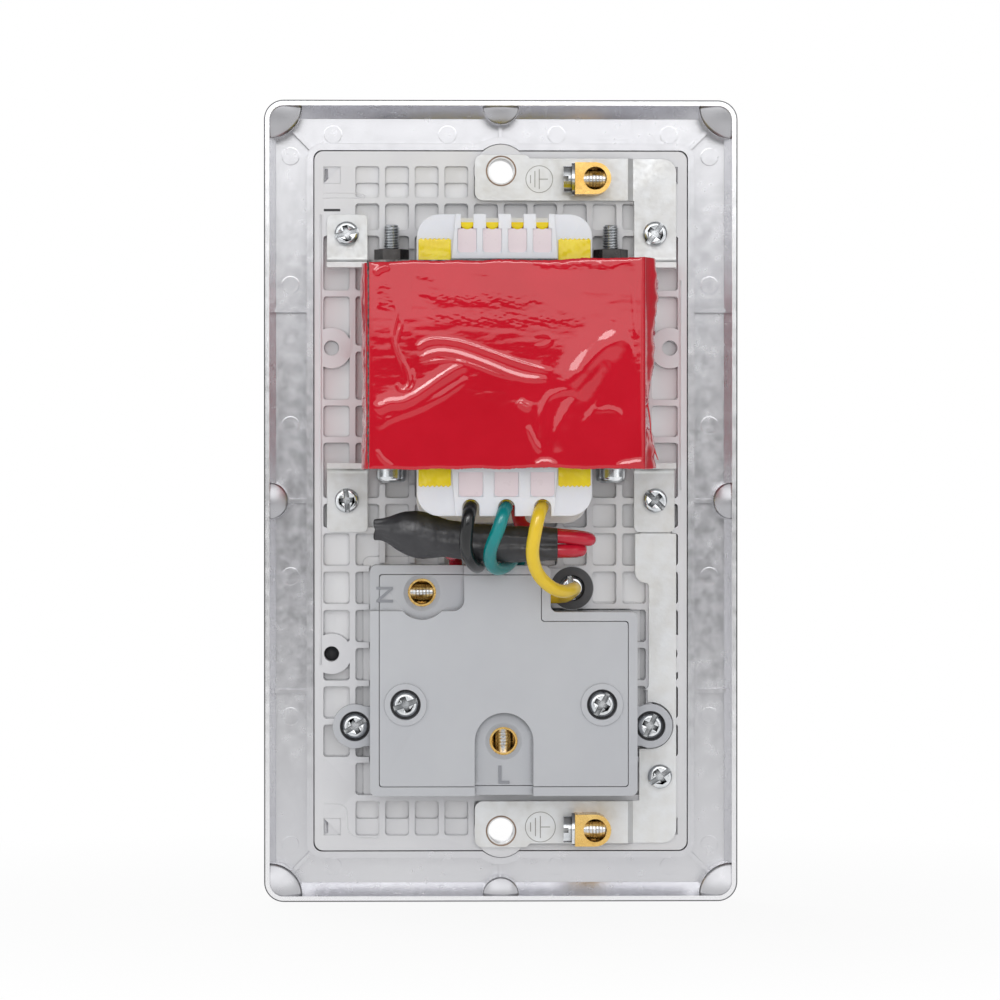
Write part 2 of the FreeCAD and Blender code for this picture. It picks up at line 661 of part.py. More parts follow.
def carrier():
    half_x, half_z = CARRIER_WIDTH / 2, CARRIER_HEIGHT / 2
    body = prism_y(centred(half_x, half_z, CARRIER_CORNER_R), PLATE_INNER_Y, CARRIER_BACK_Y)
    body = body.cut(Part.makeCompound(grid_cells()))
    # The core dips below the rib tops, so the ribs under it are lower.
    well_x = CORE_WIDTH / 2 + TAPE_GAP + TAPE_WALL + LEG_GAP
    well_y = CORE_FRONT_Y - TAPE_GAP - TAPE_WALL - LEG_GAP
    well_low = STACK_BOTTOM - STRAP_WALL - BOLT_HEAD_HEIGHT - LEG_GAP
    well_high = STACK_TOP + STRAP_WALL + NUT_HEIGHT + LEG_GAP
    well = block(-well_x, well_x, well_y, CARRIER_BACK_Y + THROUGH, well_low, well_high)
    body = body.cut(well)
    base_pad = housing_outline(-BASE_FIT - RIB_WALL, HOUSING_CORNER_R)
    body = body.fuse(prism_y(base_pad, PLATE_INNER_Y, BASE_FRONT_Y))
    bosses = []
    holes = []
    for s in (-1, 1):
        bosses.append(rod_y(0, s * HOLE_Z, FIXING_BOSS_R, PLATE_INNER_Y, ARM_Y))
        holes.append(rod_y(0, s * HOLE_Z, FIXING_HOLE_R, PLATE_INNER_Y - THROUGH, ARM_Y + THROUGH))
        for sx in (-1, 1):
            holes.extend(clip_window(sx, s))
            boss = rod_y(sx * SPARE_BOSS_X, s * SPARE_BOSS_Z, SPARE_BOSS_R, PLATE_INNER_Y, CARRIER_BACK_Y)
            bosses.append(boss.common(block(-half_x, half_x, PLATE_INNER_Y, 0, -half_z, half_z)))
            holes.append(rod_y(sx * SPARE_BOSS_X, s * SPARE_BOSS_Z, SPARE_HOLE_R, CARRIER_FLOOR_Y, THROUGH))
    foot_seat = CARRIER_BACK_Y + STRAP_WALL
    screws = [(x, z, foot_seat - PAN_LENGTH) for x, z in foot_screw_places() + [STRAP_SCREW]]
    screws.extend([(x, z, LUG_SEAT_Y - LUG_SCREW_LENGTH) for x, z in LUGS])
    for x, z, end in screws:
        bosses.append(rod_y(x, z, SCREW_BOSS_R, PLATE_INNER_Y, CARRIER_BACK_Y))
        holes.append(rod_y(x, z, PILOT_R, end - PILOT_SPARE, THROUGH))
    body = union([body] + bosses)
    holes.append(tongue_room())
    holes.append(prism_y(housing_outline(-BASE_FIT, HOUSING_CORNER_R), BASE_FRONT_Y, THROUGH))
    half = SHUTTER_WIDTH / 2 + SHUTTER_GAP
    well_top = shutter_top() + SHUTTER_TRAVEL + SHUTTER_STOP_GAP
    well_bottom = shutter_bottom() - SHUTTER_STOP_GAP
    holes.append(block(-half, half, SHUTTER_WELL_Y - THROUGH, BASE_FRONT_Y, well_bottom, well_top))
    return body.cut(Part.makeCompound(holes))


def outlet_face():
    """Panel with the four pin slots: it fills the plate's opening and closes the shutter's well."""
    panel = centred(FACE_WIDTH / 2, FACE_HEIGHT / 2, FACE_CORNER_R)
    panel = [(u, v + FACE_CENTRE_Z, r) for u, v, r in panel]
    body = prism_y(panel, OUTLET_FACE_Y, PLATE_INNER_Y)
    body = body.cut(Part.makeCompound(pin_slots(OUTLET_FACE_Y - THROUGH, PLATE_INNER_Y + THROUGH)))
    return union([body, spring_post(SHUTTER_WELL_Y - ROOT, BASE_FRONT_Y - SHUTTER_GAP)])


def shutter():
    """Sliding shutter: it covers the four slots at rest, and a sloped face lets two pins lift it clear."""
    half = SHUTTER_WIDTH / 2
    top, bottom = shutter_top(), shutter_bottom()
    front, back = SHUTTER_FRONT_Y, SHUTTER_BACK_Y
    plate = prism_y(rectangle(-half, half, bottom, top, SHUTTER_CORNER_R), front, back)
    cuts = []
    wide = SLOT_WIDTH / 2 + SHUTTER_GAP
    reach = SLOT_HEIGHT / 2 + SHUTTER_HOLE_MARGIN
    z = FACE_CENTRE_Z + PIN_SPACING / 2 - SHUTTER_TRAVEL
    for sx in (-1, 1):
        x = sx * OUTLET_SPACING / 2
        cuts.append(block(x - wide, x + wide, front - THROUGH, back + THROUGH, z - reach, z + reach))
        for low in (z + reach, bottom):
            ramp = [(front, low, 0), (front, low + SLOT_HEIGHT, 0), (front + SHUTTER_RAMP, low, 0)]
            cuts.append(prism_x(ramp, x - wide, x + wide))
    wide = SPRING_SLOT_WIDTH / 2
    cuts.append(block(-wide, wide, front - THROUGH, back + THROUGH, spring_seat_z(), shutter_slot_top()))
    plate = plate.cut(Part.makeCompound(cuts))
    peg = PEG_SIZE / 2
    peg = block(PEG_X - peg, PEG_X + peg, back - ROOT, back + PEG_REACH, peg_z() - peg, peg_z() + peg)
    return union([plate, peg])


def peg_z():
    return FACE_CENTRE_Z - PEG_SIZE


def spring_seat_z():
    return spring_top_z() - SHUTTER_TRAVEL - SPRING_SOLID_LENGTH


def spring_top_z():
    return shutter_slot_top() - SHUTTER_COVER - POST_LENGTH


def shutter_spring():
    """Compression spring between the carrier's post and the shutter's slot."""
    length = spring_top_z() - spring_seat_z() - 4 * SPRING_WIRE_R
    pitch = length / SPRING_TURNS
    helix = Part.makeHelix(pitch, length, SPRING_R)
    slope = pitch / (2 * math.pi * SPRING_R)
    section = Part.Wire(Part.makeCircle(SPRING_WIRE_R, V(SPRING_R, 0, 0), V(0, 1, slope)))
    coil = Part.Wire(helix.Edges).makePipeShell([section], True, True)
    middle_y = (SHUTTER_FRONT_Y + SHUTTER_BACK_Y) / 2
    coil.translate(V(0, middle_y, spring_seat_z() + 2 * SPRING_WIRE_R))
    return coil


# Terminal housing

def lug(x, z):
    """Round lug with a counterbore for its screw, joined to the housing wall."""
    return rod_y(x, z, LUG_R, CARRIER_BACK_Y, LUG_TOP_Y)


def lug_bridge(x, z):
    toward = HOUSING_LEFT if x > HOUSING_LEFT else HOUSING_RIGHT
    if z > NOTCH_Z:
        toward = NOTCH_X + ROOT
    half = LUG_R - LUG_BRIDGE_INSET
    return block(x, toward, CARRIER_BACK_Y, LUG_TOP_Y, z - half, z + half)


def recess_volume(y0, y1, grow):
    """Room of the two terminal recesses, grown by a wall where the walls round them are wanted."""
    n_x, n_z = N_TERMINAL
    l_x, l_z = L_TERMINAL
    radius = L_RECESS_R + grow
    right, left = N_RECESS_X - grow, HOUSING_LEFT + THROUGH
    low, high = N_RECESS_Z - grow, HOUSING_TOP + THROUGH
    corners = [(right, low, N_RECESS_CORNER_R + grow), (left, low, 0), (left, high, 0), (right, high, 0)]
    neutral = prism_y(corners, y0, y1).fuse(rod_y(n_x, n_z, N_BULGE_R + grow, y0, y1))
    live = rod_y(l_x, l_z, radius, y0, y1)
    live = live.fuse(block(l_x - radius, l_x + radius, y0, y1, HOUSING_BOTTOM - THROUGH, l_z))
    return neutral.fuse(live)


def terminal_base():
    tray = prism_y(housing_outline(0, HOUSING_CORNER_R), BASE_FRONT_Y, HOUSING_BACK_Y)
    inner = housing_outline(HOUSING_WALL, HOUSING_CORNER_R / 2)
    inner = prism_y(inner, BASE_INNER_Y, HOUSING_BACK_Y + THROUGH)
    parts = [lug(x, z) for x, z in LUGS] + [lug_bridge(x, z) for x, z in LUGS]
    tray = union([tray] + parts).cut(inner)
    posts = [rod_y(x, z, POST_R, BASE_INNER_Y - ROOT, cover_boss_bottom()) for x, z in COVER_SCREWS]
    tray = union([tray] + posts)
    cuts = [recess_volume(RECESS_Y, HOUSING_BACK_Y + THROUGH, 0)]
    cuts.extend(pin_slots(BASE_FRONT_Y - THROUGH, BASE_INNER_Y + THROUGH))
    for x, z in COVER_SCREWS:
        cuts.append(rod_y(x, z, PAN_SHANK_R, BASE_INNER_Y, HOUSING_BACK_Y))
    for x, z in LUGS:
        cuts.append(rod_y(x, z, COUNTERBORE_R, LUG_SEAT_Y, LUG_TOP_Y + THROUGH))
        cuts.append(rod_y(x, z, PAN_SHANK_R + SCREW_PASS_FIT, CARRIER_BACK_Y - THROUGH, LUG_TOP_Y))
    half = PEG_SIZE / 2 + SHUTTER_GAP
    low, high = peg_z() - half, peg_z() + SHUTTER_TRAVEL + half
    y0, y1 = BASE_FRONT_Y - THROUGH, BASE_INNER_Y + THROUGH
    cuts.append(block(PEG_X - half, PEG_X + half, y0, y1, low, high))
    cuts.extend(wall_openings())
    return tray.cut(Part.makeCompound(cuts))


def wall_openings():
    """Round openings through the housing's walls: for the leads, and for a screwdriver at each terminal."""
    depth = HOUSING_WALL + 2 * THROUGH
    lead_hole = LEAD_R + LEAD_HOLE_FIT
    driver = CLAMP_HEAD_R + DRIVER_FIT
    y = terminal_screw_y()
    cuts = []
    for x in LEAD_ENTRIES_TOP:
        cuts.append(rod(V(x, LEAD_ENTRY_Y, HOUSING_TOP + THROUGH), V(0, 0, -1), lead_hole, depth))
    cuts.append(rod(V(NOTCH_X - THROUGH, YELLOW_ENTRY[0], YELLOW_ENTRY[1]), V(1, 0, 0), lead_hole, depth))
    cuts.append(rod(V(HOUSING_LEFT + THROUGH, y, N_TERMINAL[1]), V(-1, 0, 0), driver, depth))
    cuts.append(rod(V(L_TERMINAL[0], y, HOUSING_BOTTOM - THROUGH), V(0, 0, 1), driver, depth))
    return cuts


def cover_boss_bottom():
    return HOUSING_BACK_Y - COVER_THICK - COVER_BOSS_DROP


def terminal_cover():
    """Lid set flush into the base, with a lower floor at each terminal and a ring round each screw."""
    outline = housing_outline(HOUSING_WALL + COVER_FIT, HOUSING_CORNER_R / 2)
    lid = prism_y(outline, HOUSING_BACK_Y - COVER_THICK, HOUSING_BACK_Y)
    room = prism_y(outline, RECESS_Y - COVER_THICK, HOUSING_BACK_Y)
    wells = recess_volume(RECESS_Y - COVER_THICK, HOUSING_BACK_Y, COVER_THICK).common(room)
    parts = [lid, wells]
    for x, z in COVER_SCREWS:
        parts.append(rod_y(x, z, COVER_BOSS_R, cover_boss_bottom(), HOUSING_BACK_Y + COVER_BOSS_PROUD))
    lid = union(parts)
    cuts = [recess_volume(RECESS_Y, HOUSING_BACK_Y + THROUGH, 0)]
    for x, z in (N_TERMINAL, L_TERMINAL):
        cuts.append(rod_y(x, z, ENTRY_R, RECESS_Y - 2 * COVER_THICK, RECESS_Y + THROUGH))
        cuts.append(cone_y(x, z, ENTRY_R, ENTRY_R + ENTRY_CHAMFER, RECESS_Y - ENTRY_CHAMFER, RECESS_Y))
    for x, z in COVER_SCREWS:
        cuts.append(rod_y(x, z, COUNTERBORE_R, cover_seat_y(), HOUSING_BACK_Y + 2 * THROUGH))
        cuts.append(rod_y(x, z, PAN_SHANK_R + SCREW_PASS_FIT, cover_boss_bottom() - THROUGH, HOUSING_BACK_Y))
    return lid.cut(Part.makeCompound(cuts))


def cover_seat_y():
    return HOUSING_BACK_Y - COVER_THICK


def terminal_screw_y():
    return RECESS_Y - COVER_THICK - BLOCK_LENGTH / 2


def terminal_block(x, z):
    """Brass block with the bore for the wire and a cross bore for its screw."""
    back = RECESS_Y - COVER_THICK
    half = BLOCK_SIZE / 2
    front = back - BLOCK_LENGTH
    corners = [(u + x, v + z, r) for u, v, r in centred(half, half, BLOCK_CORNER_R)]
    body = prism_y(corners, front, back)
    return body.cut(rod_y(x, z, BLOCK_BORE_R, front + BLOCK_FLOOR, back + THROUGH))


def clamp_screw_room(centre, direction, side, bore_r):
    """Cross bore from the terminal's side, a little past the far wall of its wire bore."""
    start = centre + direction * (side + THROUGH)
    return rod(start, direction * -1, CLAMP_SCREW_R + CLAMP_FIT, side + THROUGH + bore_r)


def clamp_screw(centre, direction, head_r, flange_r, head_gap, bore_r):
    """Screw across a terminal bore: its head lies outside and its end shows in the bore."""
    start = centre + direction * head_gap
    shank = rod(start, direction * -1, CLAMP_SCREW_R, head_gap + bore_r - CLAMP_END_GAP)
    head = rod(start, direction, head_r, CLAMP_HEAD_HEIGHT)
    parts = [shank, head]
    if flange_r > head_r:
        parts.append(rod(start, direction, flange_r, EARTH_FLANGE_WALL))
    solid = union(parts)
    corner = V(-CROSS_WIDTH / 2, -head_r - THROUGH, 0)
    slot = Part.makeBox(CROSS_WIDTH, 2 * (head_r + THROUGH), 2 * CROSS_DEPTH, corner)
    floor = start + direction * (CLAMP_HEAD_HEIGHT - CROSS_DEPTH)
    slot.Placement = FreeCAD.Placement(floor, FreeCAD.Rotation(V(0, 0, 1), direction))
    return solid.cut(slot)


def terminals():
    y = terminal_screw_y()
    blocks = []
    screws = []
    for (x, z), direction in ((N_TERMINAL, V(1, 0, 0)), (L_TERMINAL, V(0, 0, -1))):
        centre = V(x, y, z)
        room = clamp_screw_room(centre, direction, BLOCK_SIZE / 2, BLOCK_BORE_R)
        blocks.append(terminal_block(x, z).cut(room))
        gap = BLOCK_SIZE / 2 + CLAMP_HEAD_GAP
        screws.append(clamp_screw(centre, direction, CLAMP_HEAD_R, 0, gap, BLOCK_BORE_R))
    return blocks, screws


def contact_clip(x, z):
    """Two upright blades with a bridge behind them; a pin slides in between."""
    half = BLADE_GAP / 2
    wide = BLADE_WIDTH / 2
    top = BASE_INNER_Y + BLADE_LENGTH
    parts = []
    for s in (-1, 1):
        parts.append(block(x + s * half, x + s * (half + BLADE_WALL), BASE_INNER_Y, top, z - wide, z + wide))
    outer = half + BLADE_WALL
    parts.append(block(x - outer, x + outer, top - BLADE_WALL, top, z - wide, z + wide))
    return parts


def contacts():
    """Common contact under both outlets, and one contact for each voltage."""
    clips = {}
    across = OUTLET_SPACING / 2
    up = PIN_SPACING / 2
    top = BASE_INNER_Y + BLADE_LENGTH
    reach = across + BLADE_GAP / 2 + BLADE_WALL
    low = FACE_CENTRE_Z - up
    link_low = low + BLADE_WIDTH / 2
    parts = contact_clip(across, low) + contact_clip(-across, low)
    parts.append(block(-reach, reach, top - BLADE_WALL, top, link_low, link_low + LINK_WIDTH))
    clips["contact_common"] = union(parts)
    for name, x in (("contact_115", across), ("contact_230", -across)):
        tail = block(x - LINK_WIDTH / 2, x + LINK_WIDTH / 2, top - BLADE_WALL, top,
                     FACE_CENTRE_Z + up - BLADE_WIDTH / 2 - LINK_WIDTH, FACE_CENTRE_Z + up)
        clips[name] = union(contact_clip(x, FACE_CENTRE_Z + up) + [tail])
    return clips


def switch_leaf(x, tip_side):
    """Flat leaf that stands on the base floor, with a round contact near its top."""
    thick, wide = LEAF_WALL / 2, LEAF_WIDTH / 2
    top = BASE_INNER_Y + LEAF_LENGTH
    leaf = block(x - thick, x + thick, BASE_INNER_Y, top, LEAF_Z - wide, LEAF_Z + wide)
    centre = V(x, top - LEAF_TIP_R - LEAF_TIP_DROP, LEAF_Z)
    return union([leaf, rod(centre, V(tip_side, 0, 0), LEAF_TIP_R, LEAF_GAP / 3)])


# Steel brackets and straps

def foot_screw_places():
    upper = [(s * FOOT_SCREW_X, UPPER_FOOT_SCREW_Z) for s in (1, -1)]
    lower = [(s * FOOT_SCREW_X, LOWER_FOOT_SCREW_Z) for s in (1, -1)]
    return upper + lower


def foot_holes():
    radius = PAN_SHANK_R + SCREW_PASS_FIT
    holes = [rod_y(x, z, radius, CARRIER_BACK_Y - 2 * THROUGH, THROUGH) for x, z in foot_screw_places()]
    return Part.makeCompound(holes)


def folded_foot(x0, x1, fold_z, end_z, corner_r):
    """Foot flat on the carrier, with a bend up into the web; fold_z is the web's face away from the core."""
    sign = 1 if end_z > fold_z else -1
    y0 = CARRIER_BACK_Y
    y1 = y0 + STRAP_WALL
    bend_z = fold_z + sign * STRAP_BEND_R
    foot = [(x0, bend_z, 0), (x1, bend_z, 0), (x1, end_z, corner_r), (x0, end_z, corner_r)]
    flat = prism_y(foot, y0, y1)
    outer = STRAP_BEND_R + STRAP_WALL
    centre = (y0 + outer, bend_z)
    ring = rod(V(min(x0, x1), centre[0], centre[1]), V(1, 0, 0), outer, abs(x1 - x0))
    ring = ring.cut(rod(V(min(x0, x1), centre[0], centre[1]), V(1, 0, 0), STRAP_BEND_R, abs(x1 - x0)))
    quarter = block(x0, x1, y0, centre[0], bend_z, bend_z - sign * outer)
    return flat.fuse(ring.common(quarter))


def clamp_web(fold_z, sign):
    """Upright web along the stack face, with the two bolt holes."""
    x = FOOT_OUTER_X
    inner = fold_z - sign * STRAP_WALL
    low = CARRIER_BACK_Y + STRAP_WALL + STRAP_BEND_R
    top = CARRIER_BACK_Y + STRAP_WALL + WEB_HEIGHT
    web = block(-x, x, low, top, fold_z, inner)
    middle = FOOT_INNER_X - WEB_SIDE_GAP
    web = web.fuse(block(-middle, middle, CARRIER_BACK_Y, top, fold_z, inner))
    for s in (-1, 1):
        start = V(s * (CORE_WIDTH / 2 - CORE_HOLE_INSET), BOLT_Y, min(fold_z, inner) - THROUGH)
        web = web.cut(rod(start, V(0, 0, 1), BOLT_R + BOLT_HOLE_FIT, STRAP_WALL + 2 * THROUGH))
    return web


def strap_arm(sign):
    """Raised arm with the fixing hole; sign is +1 for the upper one and -1 for the lower one."""
    outer = sign * (HOLE_Z + ARM_TIP_ABOVE_HOLE)
    inner = outer - sign * ARM_WIDTH
    shoulder = outer - sign * ARM_STEP
    corners = [(ARM_TIP_X, inner, ARM_CORNER_R), (ARM_TIP_X, outer, ARM_CORNER_R),
               (ARM_STEP_X, outer, SHOULDER_R), (ARM_STEP_X - ARM_STEP, shoulder, SHOULDER_R),
               (ARM_END_X, shoulder, 0), (ARM_END_X, inner, 0)]
    arm = prism_y(corners, ARM_Y, ARM_Y + STRAP_WALL)
    hole = rod_y(0, sign * HOLE_Z, FIXING_HOLE_R, ARM_Y - THROUGH, ARM_Y + STRAP_WALL + THROUGH)
    joggle_end = ARM_END_X - JOGGLE_RUN
    low = CARRIER_BACK_Y
    slope = [(ARM_END_X, ARM_Y, 0), (ARM_END_X, ARM_Y + STRAP_WALL, 0), (joggle_end, low + STRAP_WALL, 0),
             (joggle_end, low, 0)]
    joggle = prism_z(slope, min(inner, shoulder), max(inner, shoulder))
    return arm.cut(hole).fuse(joggle)


def earth_bracket_upper():
    """Arm, plate, web and the two upper transformer feet, folded from one strip."""
    fold = STACK_TOP + STRAP_WALL
    bend = fold + STRAP_BEND_R
    end = ARM_END_X - JOGGLE_RUN
    top = HOLE_Z + ARM_TIP_ABOVE_HOLE - ARM_STEP
    inner = top - ARM_WIDTH + ARM_STEP
    plate = [(end, top, 0), (STRAP_OUTER_X, top, STRAP_CORNER_R), (STRAP_OUTER_X, bend, 0),
             (-FOOT_INNER_X, bend, 0), (-FOOT_INNER_X, inner, INNER_CORNER_R), (end, inner, 0)]
    parts = [strap_arm(1), prism_y(plate, CARRIER_BACK_Y, CARRIER_BACK_Y + STRAP_WALL), clamp_web(fold, 1)]
    parts.append(folded_foot(-FOOT_INNER_X, STRAP_OUTER_X, fold, bend + FOOT_RUN, 0))
    parts.append(folded_foot(FOOT_INNER_X, FOOT_OUTER_X, fold, UPPER_FOOT_TOP, FOOT_CORNER_R))
    body = union(parts)
    return body.cut(foot_holes())


def clamp_bracket_lower():
    fold = STACK_BOTTOM - STRAP_WALL
    parts = [clamp_web(fold, -1)]
    for s in (1, -1):
        parts.append(folded_foot(s * FOOT_INNER_X, s * FOOT_OUTER_X, fold, LOWER_FOOT_BOTTOM, FOOT_CORNER_R))
    body = union(parts)
    return body.cut(foot_holes())


def tongue_block(grow):
    """The strap's tongue under the foot, as a solid; grown, it is the room the carrier leaves for it."""
    middle = (LEG_INNER_X + STRAP_OUTER_X) / 2
    half = TONGUE_WIDTH / 2 + grow
    back = CARRIER_BACK_Y
    top = LOWER_FOOT_BOTTOM + TONGUE_LENGTH + grow
    low = LOWER_FOOT_BOTTOM - LEG_GAP - STRAP_WALL - grow
    return block(middle - half, middle + half, back - STRAP_WALL, back, low, top)


def tongue_room():
    return tongue_block(POCKET_FIT)


def earth_strap_lower():
    """Arm, corner plate and leg in one strip; the leg's tongue is clamped under the transformer foot."""
    y0 = CARRIER_BACK_Y
    y1 = y0 + STRAP_WALL
    end = ARM_END_X - JOGGLE_RUN
    bottom = -(HOLE_Z + ARM_TIP_ABOVE_HOLE - ARM_STEP)
    inner = bottom + ARM_WIDTH - ARM_STEP
    leg_top = LOWER_FOOT_BOTTOM - LEG_GAP
    lug_x, lug_z = LUGS[1]
    side = HOUSING_RIGHT - BASE_FIT - LUG_CLEARANCE - LEG_FROM_LUG
    outline = [(LEG_INNER_X, leg_top, 0), (STRAP_OUTER_X, leg_top, 0), (STRAP_OUTER_X, bottom, STRAP_CORNER_R),
               (end, bottom, 0), (end, inner, 0), (side, inner, INNER_CORNER_R), (side, LEG_NARROW_BOTTOM_Z, 0),
               (LEG_NARROW_X, LEG_NARROW_BOTTOM_Z, LEG_TOE_R), (LEG_NARROW_X, LEG_NARROW_TOP_Z, LEG_HEEL_R),
               (LEG_INNER_X, LEG_NARROW_TOP_Z, LEG_STEP_R)]
    body = union([prism_y(outline, y0, y1), strap_arm(-1), tongue_block(0)])
    bay = LUG_R + LUG_CLEARANCE
    cuts = [rod_y(lug_x, lug_z, bay, y0 - THROUGH, y1 + THROUGH), foot_holes()]
    low = lug_z - bay
    cuts.append(block(HOUSING_RIGHT, LEG_NARROW_X + ROOT, y0 - THROUGH, y1 + THROUGH, low, LEG_NARROW_BOTTOM_Z))
    cuts.append(rod_y(STRAP_SCREW[0], STRAP_SCREW[1], PAN_SHANK_R + SCREW_PASS_FIT, y0 - THROUGH, y1 + THROUGH))
    return body.cut(Part.makeCompound(cuts))


def earth_pillar(sign):
    """Brass pillar with a round bore for the wire and a square neck for its screw."""
    z = sign * (HOLE_Z - PILLAR_FROM_HOLE[sign])
    y0 = ARM_Y + STRAP_WALL
    y1 = y0 + PILLAR_HEIGHT
    round_part = rod_y(PILLAR_X, z, PILLAR_R, y0, y1)
    half = PILLAR_NECK_WIDTH / 2
    neck = block(PILLAR_X, PILLAR_NECK_END_X, y0, y1, z - half, z + half)
    body = union([round_part, neck])
    centre = V(PILLAR_X, (y0 + y1) / 2, z)
    body = body.cut(rod_y(PILLAR_X, z, PILLAR_BORE_R, y0 + PILLAR_FLOOR, y1 + THROUGH))
    gap = PILLAR_NECK_END_X - PILLAR_X
    body = body.cut(clamp_screw_room(centre, V(1, 0, 0), gap, PILLAR_BORE_R))
    screw = clamp_screw(centre, V(1, 0, 0), EARTH_HEAD_R, EARTH_FLANGE_R, gap + CLAMP_FIT, PILLAR_BORE_R)
    return body, screw


# Screws

def pan_screw(x, z, seat_y, length, turn):
    """Pan head screw along Y with a cross and slot recess; seat_y is the underside of the head."""
    r, h = PAN_HEAD_R, PAN_HEAD_HEIGHT
    head = rod_y(x, z, r, seat_y, seat_y + h)
    rim = [e for e in head.Edges if abs(e.BoundBox.YMin - seat_y - h) < 1e-6 and e.Closed]
    head = head.makeFillet(h * HEAD_ROUNDING, rim)
    shank = rod_y(x, z, PAN_SHANK_R, seat_y - length, seat_y)
    body = head.fuse(shank)
    for k in (0, 1):
        arm = CROSS_LENGTH / 2 if k else r + THROUGH
        half = CROSS_WIDTH / 2
        slot = block(-arm, arm, seat_y + h - CROSS_DEPTH, seat_y + h + THROUGH, -half, half)
        slot.rotate(V(0, 0, 0), V(0, 1, 0), turn + 90 * k)
        slot.translate(V(x, 0, z))
        body = body.cut(slot)
    return body


# Transformer

def lamination_holes():
    inset = CORE_HOLE_INSET
    x = CORE_WIDTH / 2 - inset
    length = STACK_TOP - STACK_BOTTOM + 2 * THROUGH
    places = [(s * x, y) for s in (-1, 1) for y in (BOLT_Y, CORE_BACK_Y - inset)]
    low = STACK_BOTTOM - THROUGH
    return Part.makeCompound([rod(V(px, py, low), V(0, 0, 1), CORE_HOLE_R, length) for px, py in places])


def core_e_stack():
    """E laminations: a back and three legs, stacked along Z."""
    half = CORE_WIDTH / 2
    window_in = CORE_CENTRE_LEG / 2
    window_out = half - CORE_LEG
    back = CORE_BACK_Y - CORE_BACK
    front = WINDOW_FRONT_Y
    corners = [(-half, CORE_BACK_Y, 0), (half, CORE_BACK_Y, 0), (half, front, 0), (window_out, front, 0),
               (window_out, back, 0), (window_in, back, 0), (window_in, front, 0), (-window_in, front, 0),
               (-window_in, back, 0), (-window_out, back, 0), (-window_out, front, 0), (-half, front, 0)]
    return prism_z(corners, STACK_BOTTOM, STACK_TOP).cut(lamination_holes())


def core_i_stack():
    half = CORE_WIDTH / 2
    return block(-half, half, CORE_FRONT_Y, WINDOW_FRONT_Y, STACK_BOTTOM, STACK_TOP).cut(lamination_holes())


def ring_y(inner_x, inner_z0, inner_z1, thick, y0, y1, corner):
    """Rectangular tube about the centre leg."""
    outer = rectangle(-inner_x - thick, inner_x + thick, inner_z0 - thick, inner_z1 + thick, corner)
    inner = rectangle(-inner_x, inner_x, inner_z0, inner_z1, 0)
    return prism_y(outer, y0, y1).cut(prism_y(inner, y0 - THROUGH, y1 + THROUGH))


def bobbin_hood(sign):
    """Raised box at each end of the rear flange, over the lead-outs; it narrows away from the core."""
    near = STACK_TOP + HOOD_GAP if sign > 0 else STACK_BOTTOM - HOOD_GAP
    far = FLANGE_TOP if sign > 0 else FLANGE_BOTTOM
    half = HOOD_HALF_WIDTH
    corners = [(-half - HOOD_TAPER, near, 0), (half + HOOD_TAPER, near, 0), (half, far, 0), (-half, far, 0)]
    return prism_y(corners, FLANGE_BACK_Y, FLANGE_BACK_Y + HOOD_PROUD)


